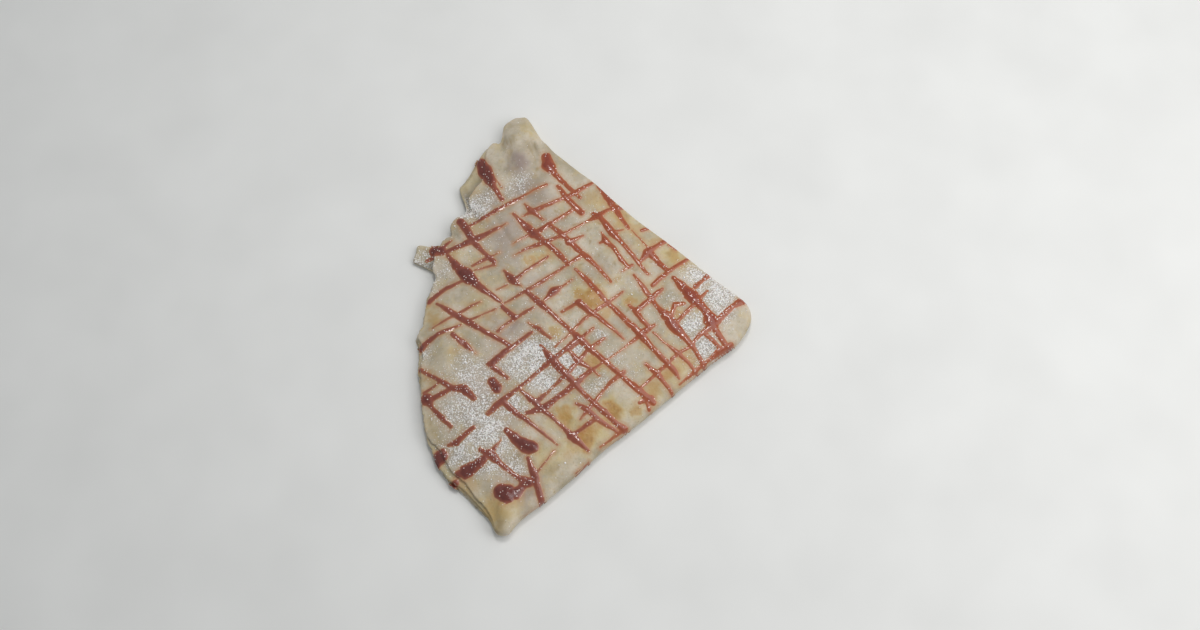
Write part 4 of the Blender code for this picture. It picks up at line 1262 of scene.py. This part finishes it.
def icing_sugar():
    """Icing sugar: milled to dust that clings in small clumps, bright white and quite matt."""
    material, shader = new_material("icing_sugar")
    place = add_node(material, "ShaderNodeTexCoord").outputs["Object"]
    damp = ranged(material, noise(material, place, 3.0, 2, 0.5), 0.4, 0.7, 0.0, 0.6)
    colour = blend_colours(material, damp, linear(SUGAR_COLOUR), linear(SUGAR_DAMP))
    material.node_tree.links.new(colour, shader.inputs["Base Color"])
    shader.inputs["Roughness"].default_value = 0.75
    shader.inputs["IOR"].default_value = 1.5
    return material


def pale_floor():
    """A painted studio sweep: matt, off-white, with the faintest mottle."""
    material, shader = new_material("painted_studio_floor")
    place = add_node(material, "ShaderNodeTexCoord").outputs["Object"]
    mottle = ranged(material, noise(material, place, 60, 2, 0.5), 0.3, 0.7)
    colour = blend_colours(material, mottle, linear(FLOOR_COLOUR), linear(FLOOR_SHADE))
    material.node_tree.links.new(colour, shader.inputs["Base Color"])
    shader.inputs["Roughness"].default_value = 0.8
    return material


def finish_piece(piece, material):
    """Gives a piece its material and its place in the part."""
    piece.data.materials.clear()
    piece.data.materials.append(material)
    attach(piece, "root")
    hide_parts("crepe")


def camera_axes():
    """The photograph's right, up and forward directions in the frame's axes."""
    elevation, roll = math.radians(VIEW_ELEVATION), math.radians(VIEW_ROLL)
    forward = Vector((0, math.cos(elevation), -math.sin(elevation)))
    level = Vector((1, 0, 0))
    upright = level.cross(forward)
    right = level * math.cos(roll) + upright * math.sin(roll)
    up = upright * math.cos(roll) - level * math.sin(roll)
    turn = Matrix.Rotation(math.radians(VIEW_TURN), 3, "Z")
    return turn @ right, turn @ up, turn @ forward


def place_camera():
    """A camera at the photograph's angle and distance."""
    right, up, forward = camera_axes()
    focal = VIEW_DISTANCE / PIXEL_SIZE
    width, height = IMAGE_SIZE
    side = (VIEW_MIDDLE[0] - width / 2) / focal
    rise = (height / 2 - VIEW_MIDDLE[1]) / focal
    place = Vector(VIEW_OFFSET) - (forward + right * side + up * rise) * VIEW_DISTANCE
    data = bpy.data.cameras.new("camera")
    data.sensor_width = SENSOR_WIDTH
    data.lens = focal / width * SENSOR_WIDTH
    camera = bpy.data.objects.new("camera", data)
    bpy.context.scene.collection.objects.link(camera)
    turned = Matrix((right, up, -forward)).transposed().to_4x4()
    camera.matrix_world = Matrix.Translation(place * MM) @ turned
    bpy.context.scene.camera = camera


def light_scene():
    """Area lights that face the crepe, and a pale world."""
    for name, place, size, watts in LIGHTS:
        data = bpy.data.lights.new(name, "AREA")
        data.shape = "DISK"
        data.size = size * MM
        data.energy = watts
        light = bpy.data.objects.new(name, data)
        bpy.context.scene.collection.objects.link(light)
        light.location = Vector(place) * MM
        light.rotation_mode = "QUATERNION"
        light.rotation_quaternion = (-light.location).to_track_quat("-Z", "Y")
    world = bpy.data.worlds.new("studio")
    world.use_nodes = True
    world.node_tree.nodes["Background"].inputs["Color"].default_value = linear(WORLD_COLOUR)
    world.node_tree.nodes["Background"].inputs["Strength"].default_value = WORLD_STRENGTH
    bpy.context.scene.world = world
    bpy.context.scene.view_settings.view_transform = "Standard"


def make_floor():
    """The pale floor that the crepe lies on."""
    only_select()
    bpy.ops.mesh.primitive_plane_add(size=FLOOR_SIZE * MM, location=(0, 0, 0))
    floor = bpy.context.active_object
    floor.name = "floor"
    floor.data.materials.append(pale_floor())


sauce_map = SauceMap()
crepe = make_folded_crepe()
mark_crepe(crepe, sauce_map)
sauce = make_berry_sauce(sauce_map, tree_of(crepe))
sugar = make_icing_sugar(tree_of(crepe, sauce), sauce_map)
finish_piece(crepe, fried_batter())
finish_piece(sauce, cooked_sauce())
sugar_material = icing_sugar()
for piece in sugar:
    finish_piece(piece, sugar_material)
place_camera()
light_scene()
make_floor()
